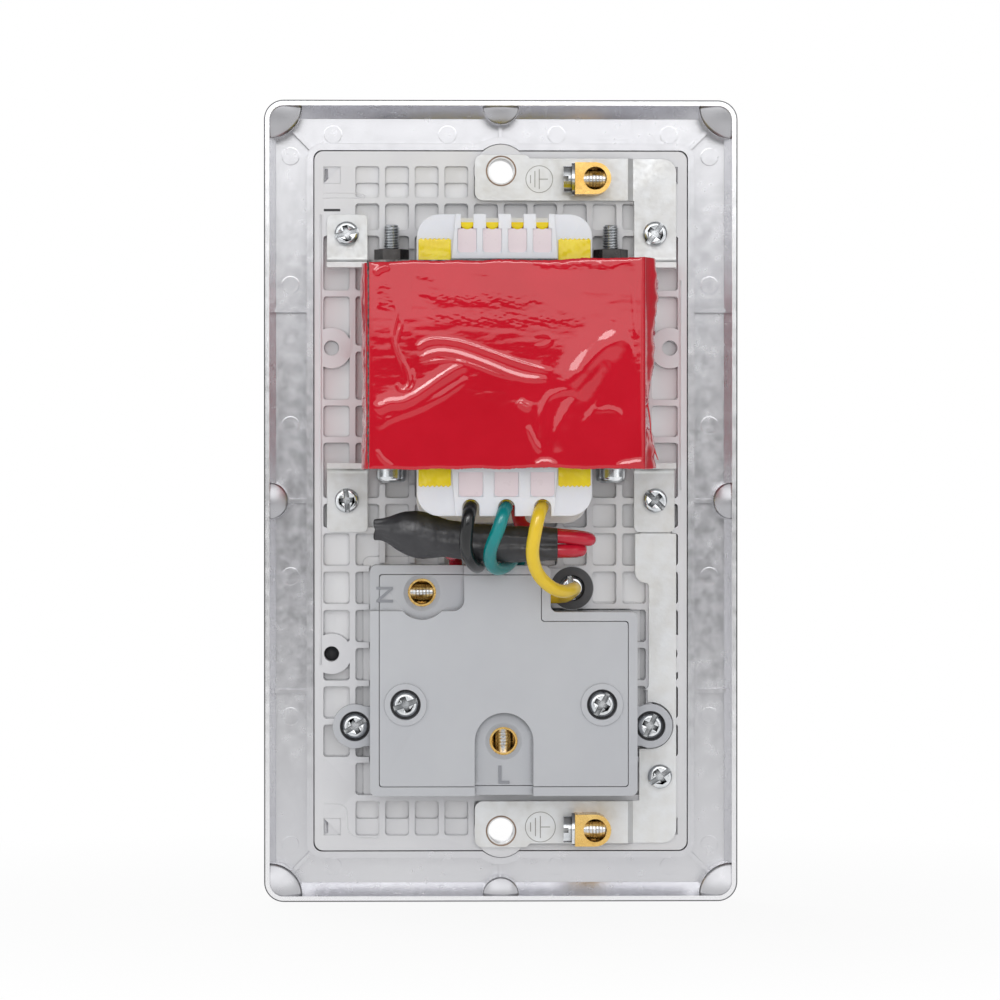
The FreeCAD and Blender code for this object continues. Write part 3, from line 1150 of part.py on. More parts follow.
def bobbin():
    """Moulded bobbin on the centre leg: tube, two flanges, a partition and the castellated hoods."""
    leg = CORE_CENTRE_LEG / 2 + BOBBIN_FIT
    low, high = STACK_BOTTOM - BOBBIN_FIT, STACK_TOP + BOBBIN_FIT
    half = FLANGE_HALF_WIDTH
    rear = rectangle(-half, half, FLANGE_BOTTOM, FLANGE_TOP, FLANGE_CORNER_R)
    extra = LOWER_FLANGE_EXTRA
    front = rectangle(-half, half, FLANGE_BOTTOM - extra, FLANGE_TOP + extra / 3, FLANGE_CORNER_R)
    middle = (FLANGE_FRONT_Y + FLANGE_BACK_Y) / 2
    wrap = winding_outer() + WRAP_GAP + WRAP_WALL
    divider = rectangle(-wrap, wrap, low - wrap + leg, high + wrap - leg, PARTITION_CORNER_R)
    parts = [ring_y(leg, low, high, BOBBIN_WALL, FLANGE_FRONT_Y, FLANGE_BACK_Y, 0)]
    parts.append(prism_y(front, FLANGE_FRONT_Y, FLANGE_FRONT_Y + FLANGE_WALL))
    parts.append(prism_y(rear, FLANGE_BACK_Y - FLANGE_WALL, FLANGE_BACK_Y))
    parts.append(prism_y(divider, middle - PARTITION_WALL / 2, middle + PARTITION_WALL / 2))
    parts.extend([bobbin_hood(1), bobbin_hood(-1)])
    body = union(parts)
    cuts = [block(-leg, leg, FLANGE_FRONT_Y - THROUGH, FLANGE_BACK_Y + HOOD_PROUD + THROUGH, low, high)]
    y0, y1 = FLANGE_BACK_Y - FLANGE_WALL - THROUGH / 2, FLANGE_BACK_Y + HOOD_PROUD + THROUGH
    for x in TOP_TAB_GAPS:
        wide = TAB_GAP_WIDTH / 2
        cuts.append(block(x - wide, x + wide, y0, y1, FLANGE_TOP - TAB_GAP_DEPTH, FLANGE_TOP + THROUGH))
        wide = WINDOW_WIDTH / 2
        floor = FLANGE_BACK_Y + HOOD_PROUD - WINDOW_DEPTH
        low = STACK_TOP + WINDOW_FROM_CORE
        cuts.append(block(x - wide, x + wide, floor, y1, low, FLANGE_TOP - TAB_GAP_DEPTH))
    for x in LEAD_NOTCHES:
        wide = LEAD_NOTCH_WIDTH / 2
        bottom = FLANGE_BOTTOM
        cuts.append(block(x - wide, x + wide, y0, y1, bottom - THROUGH, bottom + LEAD_NOTCH_DEPTH - wide))
        cuts.append(rod_y(x, bottom + LEAD_NOTCH_DEPTH - wide, wide, y0, y1))
        wide = LEAD_WINDOW_WIDTH / 2
        low = bottom + LEAD_NOTCH_DEPTH + LEAD_WINDOW_FROM_NOTCH
        cuts.append(block(x - wide, x + wide, floor, y1, low, STACK_BOTTOM - WINDOW_FROM_CORE))
    return body.cut(Part.makeCompound(cuts))


def winding_outer():
    return CORE_CENTRE_LEG / 2 + BOBBIN_FIT + BOBBIN_WALL + WINDING_THICK


def windings():
    """The two windings, each with its wrap of yellow tape, either side of the partition."""
    leg = CORE_CENTRE_LEG / 2 + BOBBIN_FIT + BOBBIN_WALL
    low, high = STACK_BOTTOM - BOBBIN_FIT - BOBBIN_WALL, STACK_TOP + BOBBIN_FIT + BOBBIN_WALL
    middle = (FLANGE_FRONT_Y + FLANGE_BACK_Y) / 2
    spans = {"primary_winding": (FLANGE_FRONT_Y + FLANGE_WALL, middle - PARTITION_WALL / 2),
             "secondary_winding": (middle + PARTITION_WALL / 2, FLANGE_BACK_Y - FLANGE_WALL)}
    coils = {}
    wraps = []
    thick = WINDING_THICK
    wall = WRAP_WALL
    corner = COIL_CORNER_R
    for name, (y0, y1) in spans.items():
        coils[name] = ring_y(leg, low, high, thick, y0, y1, corner)
        side, bottom, top = leg + thick, low - thick, high + thick
        outer = rectangle(-side - wall, side + wall, bottom - wall, top + wall, corner)
        inner = rectangle(-side, side, bottom, top, corner - wall)
        wraps.append(prism_y(outer, y0, y1).cut(prism_y(inner, y0 - THROUGH, y1 + THROUGH)))
    return coils, wraps


def flange_strips():
    """Ends of the yellow tape, stuck on the rear flange either side of the hood."""
    inner = HOOD_HALF_WIDTH + HOOD_TAPER + STRIP_FROM_HOOD
    outer = FLANGE_HALF_WIDTH - STRIP_FROM_EDGE
    upper = STACK_TOP + STRIP_FROM_CORE
    lower = STACK_BOTTOM - STRIP_FROM_CORE
    strips = []
    y0, y1 = FLANGE_BACK_Y, FLANGE_BACK_Y + STRIP_WALL
    for s in (-1, 1):
        strips.append(block(s * inner, s * outer, y0, y1, upper, upper + STRIP_REACH))
        strips.append(block(s * inner, s * outer, y0, y1, lower - STRIP_REACH, lower))
    return strips


def core_tape():
    """Red tape wound round the four long sides of the core, wider than the stack on the rear face."""
    half = CORE_WIDTH / 2 + TAPE_GAP
    y0, y1 = CORE_FRONT_Y - TAPE_GAP, CORE_BACK_Y + TAPE_GAP
    wall = TAPE_WALL
    outer = rectangle(-half - wall, half + wall, y0 - wall, y1 + wall, TAPE_CORNER_R)
    inner = rectangle(-half, half, y0, y1, 0)
    low, high = STACK_BOTTOM + TAPE_GAP, STACK_TOP - TAPE_GAP
    band = prism_z(outer, low, high).cut(prism_z(inner, low - THROUGH, high + THROUGH))
    panel = block(-half, half, y1, y1 + wall, STACK_BOTTOM - TAPE_OVERHANG, STACK_TOP)
    return union([band, panel])


def core_fasteners():
    """M3 bolts through both webs and the stack, heads below and nuts above."""
    x = CORE_WIDTH / 2 - CORE_HOLE_INSET
    seat = STACK_BOTTOM - STRAP_WALL
    nut_seat = STACK_TOP + STRAP_WALL
    corner = NUT_FLATS / 2 / math.cos(math.pi / 6)
    bolts = []
    nuts = []
    for s in (-1, 1):
        shank = rod(V(s * x, BOLT_Y, seat), V(0, 0, 1), BOLT_R, BOLT_END_Z - seat)
        head = rod(V(s * x, BOLT_Y, seat - BOLT_HEAD_HEIGHT), V(0, 0, 1), BOLT_HEAD_R, BOLT_HEAD_HEIGHT)
        rim = [e for e in head.Edges if e.Closed and abs(e.BoundBox.ZMax - seat + BOLT_HEAD_HEIGHT) < 1e-6]
        head = head.makeFillet(BOLT_HEAD_HEIGHT * HEAD_ROUNDING, rim)
        bolts.append(union([shank, head]))
        turns = [k * math.pi / 3 for k in range(6)]
        hexagon = [(s * x + corner * math.cos(t), BOLT_Y + corner * math.sin(t), 0) for t in turns]
        nut = prism_z(hexagon, nut_seat, nut_seat + NUT_HEIGHT)
        bore = rod(V(s * x, BOLT_Y, nut_seat - THROUGH), V(0, 0, 1), BOLT_R, NUT_HEIGHT + 2 * THROUGH)
        nuts.append(nut.cut(bore))
    return bolts, nuts


# Leads: straight runs joined by tangent arcs

def lead_path(points):
    """Wire through the points with a tangent arc at each inner one; also the list of arc radii."""
    edges = []
    radii = []
    last = points[0]
    for before, here, after in zip(points, points[1:], points[2:]):
        a, b = before - here, after - here
        run = min(a.Length, b.Length)
        a.normalize()
        b.normalize()
        half_turn = (math.pi - math.acos(max(-1.0, min(1.0, a.dot(b))))) / 2
        back = ARC_SHARE * run
        radius = back / math.tan(half_turn)
        radii.append(radius)
        start, end = here + a * back, here + b * back
        axis = a + b
        axis.normalize()
        middle = here + axis * (math.hypot(radius, back) - radius)
        edges.append(Part.makeLine(last, start))
        edges.append(Part.Arc(start, middle, end).toShape())
        last = end
    edges.append(Part.makeLine(last, points[-1]))
    return Part.Wire(edges), radii


def lead(name, points):
    points = [V(*p) for p in points]
    path, radii = lead_path(points)
    circle = Part.makeCircle(LEAD_R, points[0], points[1] - points[0])
    tube = path.makePipeShell([Part.Wire(circle)], True, False)
    expected = math.pi * LEAD_R ** 2 * path.Length
    print(name, "length", round(path.Length, 1), "least radius", round(min(radii), 1))
    print("  volume against its path", round(tube.Volume / expected, 4))
    return tube


def sleeve_loft(shrink, first_x, last_x):
    wires = []
    for i, (x, z, tall, deep) in enumerate(SLEEVE_SECTIONS):
        if i == 0:
            x = first_x
        if i == len(SLEEVE_SECTIONS) - 1:
            x = last_x
        centre = V(x, SLEEVE_Y, z)
        ellipse = Part.Ellipse(V(x, SLEEVE_Y, z + tall - shrink), V(x, SLEEVE_Y + deep - shrink, z), centre)
        wires.append(Part.Wire(ellipse.toShape()))
    return Part.makeLoft(wires, True, True)


def sleeve():
    """Shrunk sleeve: pressed flat at one end, with a bulge over the thermal cut-out, open at the other end."""
    first, last = SLEEVE_SECTIONS[0][0], SLEEVE_SECTIONS[-1][0]
    outer = sleeve_loft(0, first, last)
    inner = sleeve_loft(SLEEVE_WALL, first - SLEEVE_WALL, last - THROUGH)
    return outer.cut(inner)


def thermal_cutout():
    """Small round-ended case of the thermal cut-out, inside the sleeve's bulge."""
    x, z = SLEEVE_SECTIONS[2][:2]
    tall = V(x, SLEEVE_Y, z + CUTOUT_HALF_HEIGHT)
    ellipse = Part.Ellipse(tall, V(x, SLEEVE_Y + CUTOUT_HALF_DEPTH, z), V(x, SLEEVE_Y, z))
    case = Part.Face(Part.Wire(ellipse.toShape())).extrude(V(CUTOUT_LENGTH, 0, 0))
    case.translate(V(-CUTOUT_LENGTH / 2 - CUTOUT_SHIFT, 0, 0))
    return case


def save_screws():
    seat = CARRIER_BACK_Y + STRAP_WALL
    sets = {"foot_screws": (foot_screw_places(), seat, PAN_LENGTH, FOOT_SCREW_TURNS),
            "strap_screw": ([STRAP_SCREW], seat, PAN_LENGTH, [STRAP_SCREW_TURN]),
            "lug_screws": (LUGS, LUG_SEAT_Y, LUG_SCREW_LENGTH, LUG_SCREW_TURNS),
            "cover_screws": (COVER_SCREWS, cover_seat_y(), COVER_SCREW_LENGTH, COVER_SCREW_TURNS)}
    for name, (places, seat_y, length, turns) in sets.items():
        screws = [pan_screw(x, z, seat_y, length, turn) for (x, z), turn in zip(places, turns)]
        save(name, Part.makeCompound(screws))


def main():
    os.makedirs("parts", exist_ok=True)
    save("front_plate", front_plate())
    save("carrier", carrier())
    save("outlet_face", outlet_face())
    save("shutter", shutter())
    save("shutter_spring", shutter_spring())
    for name, shape in contacts().items():
        save(name, shape)
    save("switch_leaf_moving", switch_leaf(LEAF_X, -1))
    save("switch_leaf_fixed", switch_leaf(LEAF_X - LEAF_GAP, 1))
    save("terminal_base", terminal_base())
    save("terminal_cover", terminal_cover())
    blocks, clamps = terminals()
    save("terminal_n", blocks[0])
    save("terminal_l", blocks[1])
    save("terminal_screws", Part.makeCompound(clamps))
    save("earth_bracket_upper", earth_bracket_upper())
    save("earth_strap_lower", earth_strap_lower())
    save("clamp_bracket_lower", clamp_bracket_lower())
    upper, upper_screw = earth_pillar(1)
    lower, lower_screw = earth_pillar(-1)
    save("earth_terminal_upper", upper)
    save("earth_terminal_lower", lower)
    save("earth_clamp_screws", Part.makeCompound([upper_screw, lower_screw]))
    save_screws()
    save("core_e_stack", core_e_stack())
    save("core_i_stack", core_i_stack())
    save("bobbin", bobbin())
    coils, wraps = windings()
    for name, shape in coils.items():
        save(name, shape)
    save("winding_tape", Part.makeCompound(wraps))
    save("flange_strips", Part.makeCompound(flange_strips()))
    save("core_tape", core_tape())
    bolts, nuts = core_fasteners()
    save("core_bolts", Part.makeCompound(bolts))
    save("core_nuts", Part.makeCompound(nuts))
    save("lead_black", lead("lead_black", BLACK_ROUTE))
    save("lead_green", lead("lead_green", GREEN_ROUTE))
    save("lead_yellow", lead("lead_yellow", YELLOW_ROUTE))
    save("lead_red_upper", lead("lead_red_upper", RED_UPPER_ROUTE))
    save("lead_red_lower", lead("lead_red_lower", RED_LOWER_ROUTE))
    save("sleeve", sleeve())
    save("thermal_cutout", thermal_cutout())


main()
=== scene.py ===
# %% [markdown]
# # A shaver socket, seen from behind
#
# The real object is a raised chromed plate with a mains transformer, a grey terminal housing and two
# earth straps behind it. The CAD model gives the sizes and places. This lesson dresses it: soft edges on
# the mouldings, creased tape, threads, leads, and a material for each finish.

# %% Load the frame and keep its box
import math

import bmesh
import bpy
import numpy as np
from mathutils import Matrix, Vector


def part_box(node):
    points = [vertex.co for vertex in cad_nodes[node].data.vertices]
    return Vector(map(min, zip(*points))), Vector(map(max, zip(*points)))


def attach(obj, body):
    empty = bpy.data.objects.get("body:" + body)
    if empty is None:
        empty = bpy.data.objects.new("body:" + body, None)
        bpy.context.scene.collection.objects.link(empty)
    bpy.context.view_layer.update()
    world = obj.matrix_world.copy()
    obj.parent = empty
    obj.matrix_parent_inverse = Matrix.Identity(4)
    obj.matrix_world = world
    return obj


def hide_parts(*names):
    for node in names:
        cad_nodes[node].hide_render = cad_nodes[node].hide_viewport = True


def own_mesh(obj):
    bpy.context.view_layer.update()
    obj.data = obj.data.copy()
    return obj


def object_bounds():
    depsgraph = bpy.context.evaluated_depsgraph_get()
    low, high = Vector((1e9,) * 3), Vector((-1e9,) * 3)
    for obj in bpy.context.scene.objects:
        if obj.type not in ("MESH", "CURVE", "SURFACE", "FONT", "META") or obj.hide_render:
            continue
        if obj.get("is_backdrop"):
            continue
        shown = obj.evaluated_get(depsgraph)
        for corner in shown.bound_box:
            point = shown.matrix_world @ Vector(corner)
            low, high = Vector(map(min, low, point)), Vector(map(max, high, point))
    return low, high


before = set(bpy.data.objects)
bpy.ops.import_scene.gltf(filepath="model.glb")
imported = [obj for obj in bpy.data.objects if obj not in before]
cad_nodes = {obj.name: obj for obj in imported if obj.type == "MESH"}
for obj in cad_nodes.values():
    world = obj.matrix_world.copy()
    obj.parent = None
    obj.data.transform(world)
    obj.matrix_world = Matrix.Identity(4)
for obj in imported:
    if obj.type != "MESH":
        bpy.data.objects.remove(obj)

MM = 0.001
BODY = "unit"
cad_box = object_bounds()

# %% [markdown]
# ## Meshes from arrays
#
# Most new pieces are grids of points: a shape is a function of two parameters, worked out as whole
# arrays. A row of the grid may close on itself, as a tube's ring does, and the two ends may get caps.

# %% Grids of points to faces
def grid_faces(rows, columns, ring=False, loop=False, caps=False):
    """Quads between neighbours; ring closes each row on itself, loop closes the rows, caps fill both ends."""
    index = np.arange(rows * columns).reshape(rows, columns)
    near = index if loop else index[:-1]
    far = np.roll(index, -1, axis=0) if loop else index[1:]
    if not ring:
        quads = [near[:, :-1], far[:, :-1], far[:, 1:], near[:, 1:]]
    else:
        quads = [near, far, np.roll(far, -1, axis=1), np.roll(near, -1, axis=1)]
    faces = np.stack(quads, axis=-1).reshape(-1, 4).tolist()
    if caps:
        faces.append(index[0].tolist())
        faces.append(index[-1][::-1].tolist())
    return faces


def surface(points, ring=False, loop=False, caps=False):
    """(corners, faces) of one grid of points in millimetres."""
    rows, columns = points.shape[:2]
    return points.reshape(-1, 3), grid_faces(rows, columns, ring, loop, caps)


def joined(parts):
    """Several (corners, faces) as one."""
    corners, faces, start = [], [], 0
    for points, quads in parts:
        corners.append(points)
        faces.extend([[k + start for k in face] for face in quads])
        start += len(points)
    return np.concatenate(corners), faces


def make_piece(name, shape, material, body=BODY, closed=True, sharp=None):
    """Mesh object from (corners, faces); a closed shape has its faces turned outwards."""
    corners, faces = shape
    mesh = bpy.data.meshes.new(name)
    mesh.from_pydata((corners * MM).tolist(), [], faces)
    if closed:
        work = bmesh.new()
        work.from_mesh(mesh)
        bmesh.ops.recalc_face_normals(work, faces=work.faces)
        work.to_mesh(mesh)
        work.free()
    mesh.polygons.foreach_set("use_smooth", np.ones(len(mesh.polygons), bool))
    if sharp is not None:
        mesh.set_sharp_from_angle(angle=math.radians(sharp))
    mesh.materials.append(material)
    piece = bpy.data.objects.new(name, mesh)
    bpy.context.scene.collection.objects.link(piece)
    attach(piece, body)
    return piece

# %% [markdown]
# ## Rounded copies of the mouldings
#
# No moulded or pressed edge is knife sharp, and the thin bright line along an edge is much of what makes
# plastic and steel look real. Each CAD node that shows is copied, its loose triangles are merged and its
# flat faces joined, and a Bevel modifier rounds what is left. The copy stands for the node.

# %% A copy with rounded edges
def rounded_copy(node, width, material, segments=2, angle=32.0, cut_above=None, weighted=False):
    """Copy of a CAD node with merged corners, joined flat faces and edges rounded by width in millimetres."""
    work = bmesh.new()
    work.from_mesh(cad_nodes[node].data)
    bmesh.ops.remove_doubles(work, verts=work.verts, dist=0.004 * MM)
    if cut_above is not None:
        everything = work.verts[:] + work.edges[:] + work.faces[:]
        bmesh.ops.bisect_plane(work, geom=everything, plane_co=(0, 0, cut_above * MM), plane_no=(0, 0, 1),
                               clear_outer=True)
        rim = [edge for edge in work.edges if len(edge.link_faces) == 1]
        bmesh.ops.contextual_create(work, geom=rim)
    bmesh.ops.dissolve_limit(work, angle_limit=math.radians(1.5), verts=work.verts, edges=work.edges)
    mesh = bpy.data.meshes.new(node + "_rounded")
    work.to_mesh(mesh)
    work.free()
    mesh.polygons.foreach_set("use_smooth", np.ones(len(mesh.polygons), bool))
    mesh.set_sharp_from_angle(angle=math.radians(angle))
    mesh.materials.append(material)
    piece = bpy.data.objects.new(node + "_rounded", mesh)
    bpy.context.scene.collection.objects.link(piece)
    if width > 0:
        bevel = piece.modifiers.new("edges", "BEVEL")
        bevel.width = width * MM
        bevel.segments = segments
        bevel.limit_method = "ANGLE"
        bevel.angle_limit = math.radians(angle)
        bevel.harden_normals = not weighted
        bevel.miter_outer = "MITER_ARC"
    if weighted:
        flatten = piece.modifiers.new("flat_faces", "WEIGHTED_NORMAL")
        flatten.weight = 100
        flatten.keep_sharp = True
    body = "shutter" if node == "shutter" else BODY
    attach(piece, body)
    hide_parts(node)
    print(node, "rounded:", len(mesh.polygons), "faces")
    return piece

# %% [markdown]
# ## Effects that the materials share
#
# Three node groups put out masks and heights only. *variation* is broad and fine noise for colour and
# roughness, *drawn_lines* is fine parallel lines as on rolled steel, and *speckle* is dust and pits.

# %% Node groups
def new_group(name, inputs, outputs):
    """Empty shader node group with float inputs (name, value) and named float outputs."""
    group = bpy.data.node_groups.new(name, "ShaderNodeTree")
    group.interface.new_socket("Vector", in_out="INPUT", socket_type="NodeSocketVector")
    for label, value in inputs:
        socket = group.interface.new_socket(label, in_out="INPUT", socket_type="NodeSocketFloat")
        socket.default_value = value
    for label in outputs:
        group.interface.new_socket(label, in_out="OUTPUT", socket_type="NodeSocketFloat")
    return group, group.nodes.new("NodeGroupInput"), group.nodes.new("NodeGroupOutput")


def variation_group():
    """Broad: soft noise over centimetres. Fine: grain. Both run from 0 to 1."""
    group, given, out = new_group("variation", [("Broad Scale", 60.0), ("Fine Scale", 900.0)], ["Broad", "Fine"])
    for label, socket, detail in (("Broad", "Broad Scale", 3.0), ("Fine", "Fine Scale", 4.0)):
        noise = group.nodes.new("ShaderNodeTexNoise")
        noise.inputs["Detail"].default_value = detail
        group.links.new(given.outputs["Vector"], noise.inputs["Vector"])
        group.links.new(given.outputs[socket], noise.inputs["Scale"])
        spread = group.nodes.new("ShaderNodeMapRange")
        spread.inputs["From Min"].default_value = 0.3
        spread.inputs["From Max"].default_value = 0.7
        group.links.new(noise.outputs["Fac"], spread.inputs["Value"])
        group.links.new(spread.outputs["Result"], out.inputs[label])
    return group


def drawn_lines_group():
    """Noise stretched along X, so that it reads as fine rolling marks."""
    group, given, out = new_group("drawn_lines", [("Scale", 1500.0), ("Stretch", 0.03)], ["Lines"])
    parts = group.nodes.new("ShaderNodeSeparateXYZ")
    across = group.nodes.new("ShaderNodeMath")
    across.operation = "MULTIPLY"
    back = group.nodes.new("ShaderNodeCombineXYZ")
    noise = group.nodes.new("ShaderNodeTexNoise")
    noise.inputs["Detail"].default_value = 2.0
    group.links.new(given.outputs["Vector"], parts.inputs["Vector"])
    group.links.new(parts.outputs["X"], across.inputs[0])
    group.links.new(given.outputs["Stretch"], across.inputs[1])
    group.links.new(across.outputs["Value"], back.inputs["X"])
    group.links.new(parts.outputs["Y"], back.inputs["Y"])
    group.links.new(parts.outputs["Z"], back.inputs["Z"])
    group.links.new(back.outputs["Vector"], noise.inputs["Vector"])
    group.links.new(given.outputs["Scale"], noise.inputs["Scale"])
    group.links.new(noise.outputs["Fac"], out.inputs["Lines"])
    return group


def speckle_group():
    """1 in small scattered spots and 0 elsewhere."""
    group, given, out = new_group("speckle", [("Scale", 300.0), ("Size", 0.12)], ["Spots"])
    cells = group.nodes.new("ShaderNodeTexVoronoi")
    less = group.nodes.new("ShaderNodeMath")
    less.operation = "LESS_THAN"
    group.links.new(given.outputs["Vector"], cells.inputs["Vector"])
    group.links.new(given.outputs["Scale"], cells.inputs["Scale"])
    group.links.new(cells.outputs["Distance"], less.inputs[0])
    group.links.new(given.outputs["Size"], less.inputs[1])
    group.links.new(less.outputs["Value"], out.inputs["Spots"])
    return group


variation = variation_group()
drawn_lines = drawn_lines_group()
speckle = speckle_group()
print("Node groups:", [g.name for g in (variation, drawn_lines, speckle)])

# %% [markdown]
# ## A recipe for a finish
#
# Each finish has two near colours mixed by the broad noise, a roughness that wanders with the fine noise, and a
# bump from the fine noise. A finish may add drawn lines, as the zinc does. Colours are written as they look on a
# screen and turned into light values here.

# %% Finish recipe
def light(red, green, blue):
    """Screen colour from 0 to 255 as linear light, with an alpha of 1."""
    values = np.array([red, green, blue]) / 255
    linear = np.where(values <= 0.04045, values / 12.92, ((values + 0.055) / 1.055) ** 2.4)
    return (*linear.tolist(), 1.0)


def place_group(material, group, vector, **values):
    """Node that stands for a shared group in a material, with this material's own values."""
    node = material.node_tree.nodes.new("ShaderNodeGroup")
    node.node_tree = group
    for label, value in values.items():
        node.inputs[label.replace("_", " ")].default_value = value
    material.node_tree.links.new(vector, node.inputs["Vector"])
    return node


def mixed(material, factor, first, second):
    """Colour mix; first and second are colours or sockets."""
    nodes, links = material.node_tree.nodes, material.node_tree.links
    mix = nodes.new("ShaderNodeMix")
    mix.data_type = "RGBA"
    if isinstance(factor, float):
        mix.inputs[0].default_value = factor
    else:
        links.new(factor, mix.inputs[0])
    for value, socket in ((first, mix.inputs[6]), (second, mix.inputs[7])):
        if isinstance(value, tuple):
            socket.default_value = value
        else:
            links.new(value, socket)
    return mix.outputs[2]


def ranged(material, socket, low, high, from_low=0.0, from_high=1.0):
    """Socket's value moved from one range to another."""
    node = material.node_tree.nodes.new("ShaderNodeMapRange")
    node.inputs["From Min"].default_value = from_low
    node.inputs["From Max"].default_value = from_high
    node.inputs["To Min"].default_value = low
    node.inputs["To Max"].default_value = high
    material.node_tree.links.new(socket, node.inputs["Value"])
    return node.outputs["Result"]


def combined(tree, operation, first, second=None):
    """Math node over one or two sockets of a node tree."""
    node = tree.nodes.new("ShaderNodeMath")
    node.operation = operation
    for value, socket in zip((first, second), node.inputs):
        if value is not None:
            tree.links.new(value, socket)
    return node.outputs["Value"]


def bumped(material, height, strength, distance, normal=None):
    """Normal bent by a height socket; distance is in millimetres."""
    node = material.node_tree.nodes.new("ShaderNodeBump")
    node.inputs["Strength"].default_value = strength
    node.inputs["Distance"].default_value = distance * MM
    material.node_tree.links.new(height, node.inputs["Height"])
    if normal is not None:
        material.node_tree.links.new(normal, node.inputs["Normal"])
    return node.outputs["Normal"]


def painted_corner_shade(material, colour, reach, dark, low=0.35, high=0.8):
    """Painted shade: colour that goes to dark in the corners and holes of its own piece, within reach
    millimetres.
    """
    crowd = material.node_tree.nodes.new("ShaderNodeAmbientOcclusion")
    crowd.only_local = True
    crowd.samples = 6
    crowd.inputs["Distance"].default_value = reach * MM
    return mixed(material, ranged(material, crowd.outputs["AO"], 0.0, 1.0, low, high), dark, colour)


def along_depth(material, place, low, high):
    """0 below a level of Y in millimetres and 1 above another."""
    parts = material.node_tree.nodes.new("ShaderNodeSeparateXYZ")
    material.node_tree.links.new(place, parts.inputs["Vector"])
    return ranged(material, parts.outputs["Y"], 0.0, 1.0, low * MM, high * MM)


def paint(material, made, colour):
    """Joins a colour to the shader."""
    material.node_tree.links.new(colour, made["shader"].inputs["Base Color"])


def finish(name, first, second, rough, metal=0.0, broad=70.0, fine=1400.0, bump=0.15, depth=0.05, lines=0.0):
    """Material of two near colours, a range of roughness and a fine bump; returns (material, sockets)."""
    material = bpy.data.materials.new(name)
    material.use_nodes = True
    nodes, links = material.node_tree.nodes, material.node_tree.links
    shader = nodes["Principled BSDF"]
    place = nodes.new("ShaderNodeTexCoord").outputs["Object"]
    noise = place_group(material, variation, place, Broad_Scale=broad, Fine_Scale=fine)
    colour = mixed(material, noise.outputs["Broad"], light(*first), light(*second))
    links.new(colour, shader.inputs["Base Color"])
    links.new(ranged(material, noise.outputs["Fine"], *rough), shader.inputs["Roughness"])
    normal = bumped(material, noise.outputs["Fine"], bump, depth)
    if lines > 0:
        marks = place_group(material, drawn_lines, place, Scale=1300.0)
        normal = bumped(material, marks.outputs["Lines"], lines, 0.02, normal)
    links.new(normal, shader.inputs["Normal"])
    shader.inputs["Metallic"].default_value = metal
    return material, {"shader": shader, "place": place, "noise": noise, "colour": colour, "normal": normal}

# %% [markdown]
# ## The finishes of this object
#
# Satin plating, bright plating, two grey plastics, zinc with a faint yellow passivation, brass, milky
# nylon, glossy tapes, soft lead coverings and a matt shrunk sleeve. The plastics keep a low gloss, and
# the nylon lets some light through.

# %% Plastics and nylon
MOULDED = dict(bump=0.10, depth=0.03)
MILKY = dict(fine=700.0, bump=0.2, depth=0.06)
carrier_white, made = finish("carrier_white", (228, 228, 230), (221, 221, 224), (0.36, 0.5), **MOULDED)
# Painted light: carrier surfaces below Y -4.6 mm, the floors of the deep cells, are painted lighter, fading back
# to the plain colour by Y -2.4 mm.
shallow = along_depth(carrier_white, made["place"], -4.6, -2.4)
deep = mixed(carrier_white, shallow, light(246, 246, 247), made["colour"])
# Painted shade: the corners at the feet of the carrier's ribs go dark within 0.5 mm.
paint(carrier_white, made, painted_corner_shade(carrier_white, deep, 0.5, light(168, 168, 172), 0.45, 0.72))
face_white, made = finish("face_white", (240, 240, 240), (235, 235, 236), (0.22, 0.30), bump=0.05, depth=0.02)
housing_grey, made = finish("housing_grey", (198, 200, 204), (192, 194, 199), (0.36, 0.5), **MOULDED)
spots = place_group(housing_grey, speckle, made["place"], Scale=110.0, Size=0.035)
dusty = mixed(housing_grey, spots.outputs["Spots"], made["colour"], light(140, 142, 146))
# Painted shade: the housing's grooves, recesses and screw wells go dark within 1.8 mm. The speckles are dust.
paint(housing_grey, made, painted_corner_shade(housing_grey, dusty, 1.8, light(44, 45, 48), 0.28, 0.66))

nylon, made = finish("nylon", (240, 241, 245), (230, 231, 238), (0.28, 0.42), **MILKY)
for label, value in (("Weight", 0.35), ("Radius", (0.004, 0.0035, 0.003)), ("Scale", 0.6)):
    made["shader"].inputs["Subsurface " + label].default_value = value
nylon_pink, made = finish("nylon_pink", (236, 223, 226), (230, 214, 219), (0.25, 0.4), **MILKY)

# %% Metals
TURNED = dict(metal=1.0, bump=0.2, depth=0.03)
zinc, made = finish("zinc", (216, 216, 215), (196, 195, 193), (0.32, 0.48), metal=0.88, broad=75.0, bump=0.22,
                    depth=0.04, lines=0.2)
tint = place_group(zinc, variation, made["place"], Broad_Scale=38.0, Fine_Scale=420.0)
passivated = ranged(zinc, tint.outputs["Broad"], 0.0, 0.4, 0.6, 1.0)
yellowed = mixed(zinc, passivated, made["colour"], light(212, 204, 182))
clouded = mixed(zinc, ranged(zinc, tint.outputs["Fine"], 0.0, 0.5), yellowed, light(226, 229, 233))
paint(zinc, made, clouded)
screw_zinc, made = finish("screw_zinc", (236, 238, 240), (200, 204, 208), (0.14, 0.26), broad=500.0, **TURNED)
# Painted shade: the screws' cross recesses and thread grooves go dark within 0.9 mm.
paint(screw_zinc, made, painted_corner_shade(screw_zinc, made["colour"], 0.9, light(40, 42, 46), 0.42, 0.9))
bolt_steel, made = finish("bolt_steel", (232, 235, 238), (204, 208, 212), (0.16, 0.28), broad=500.0, **TURNED)
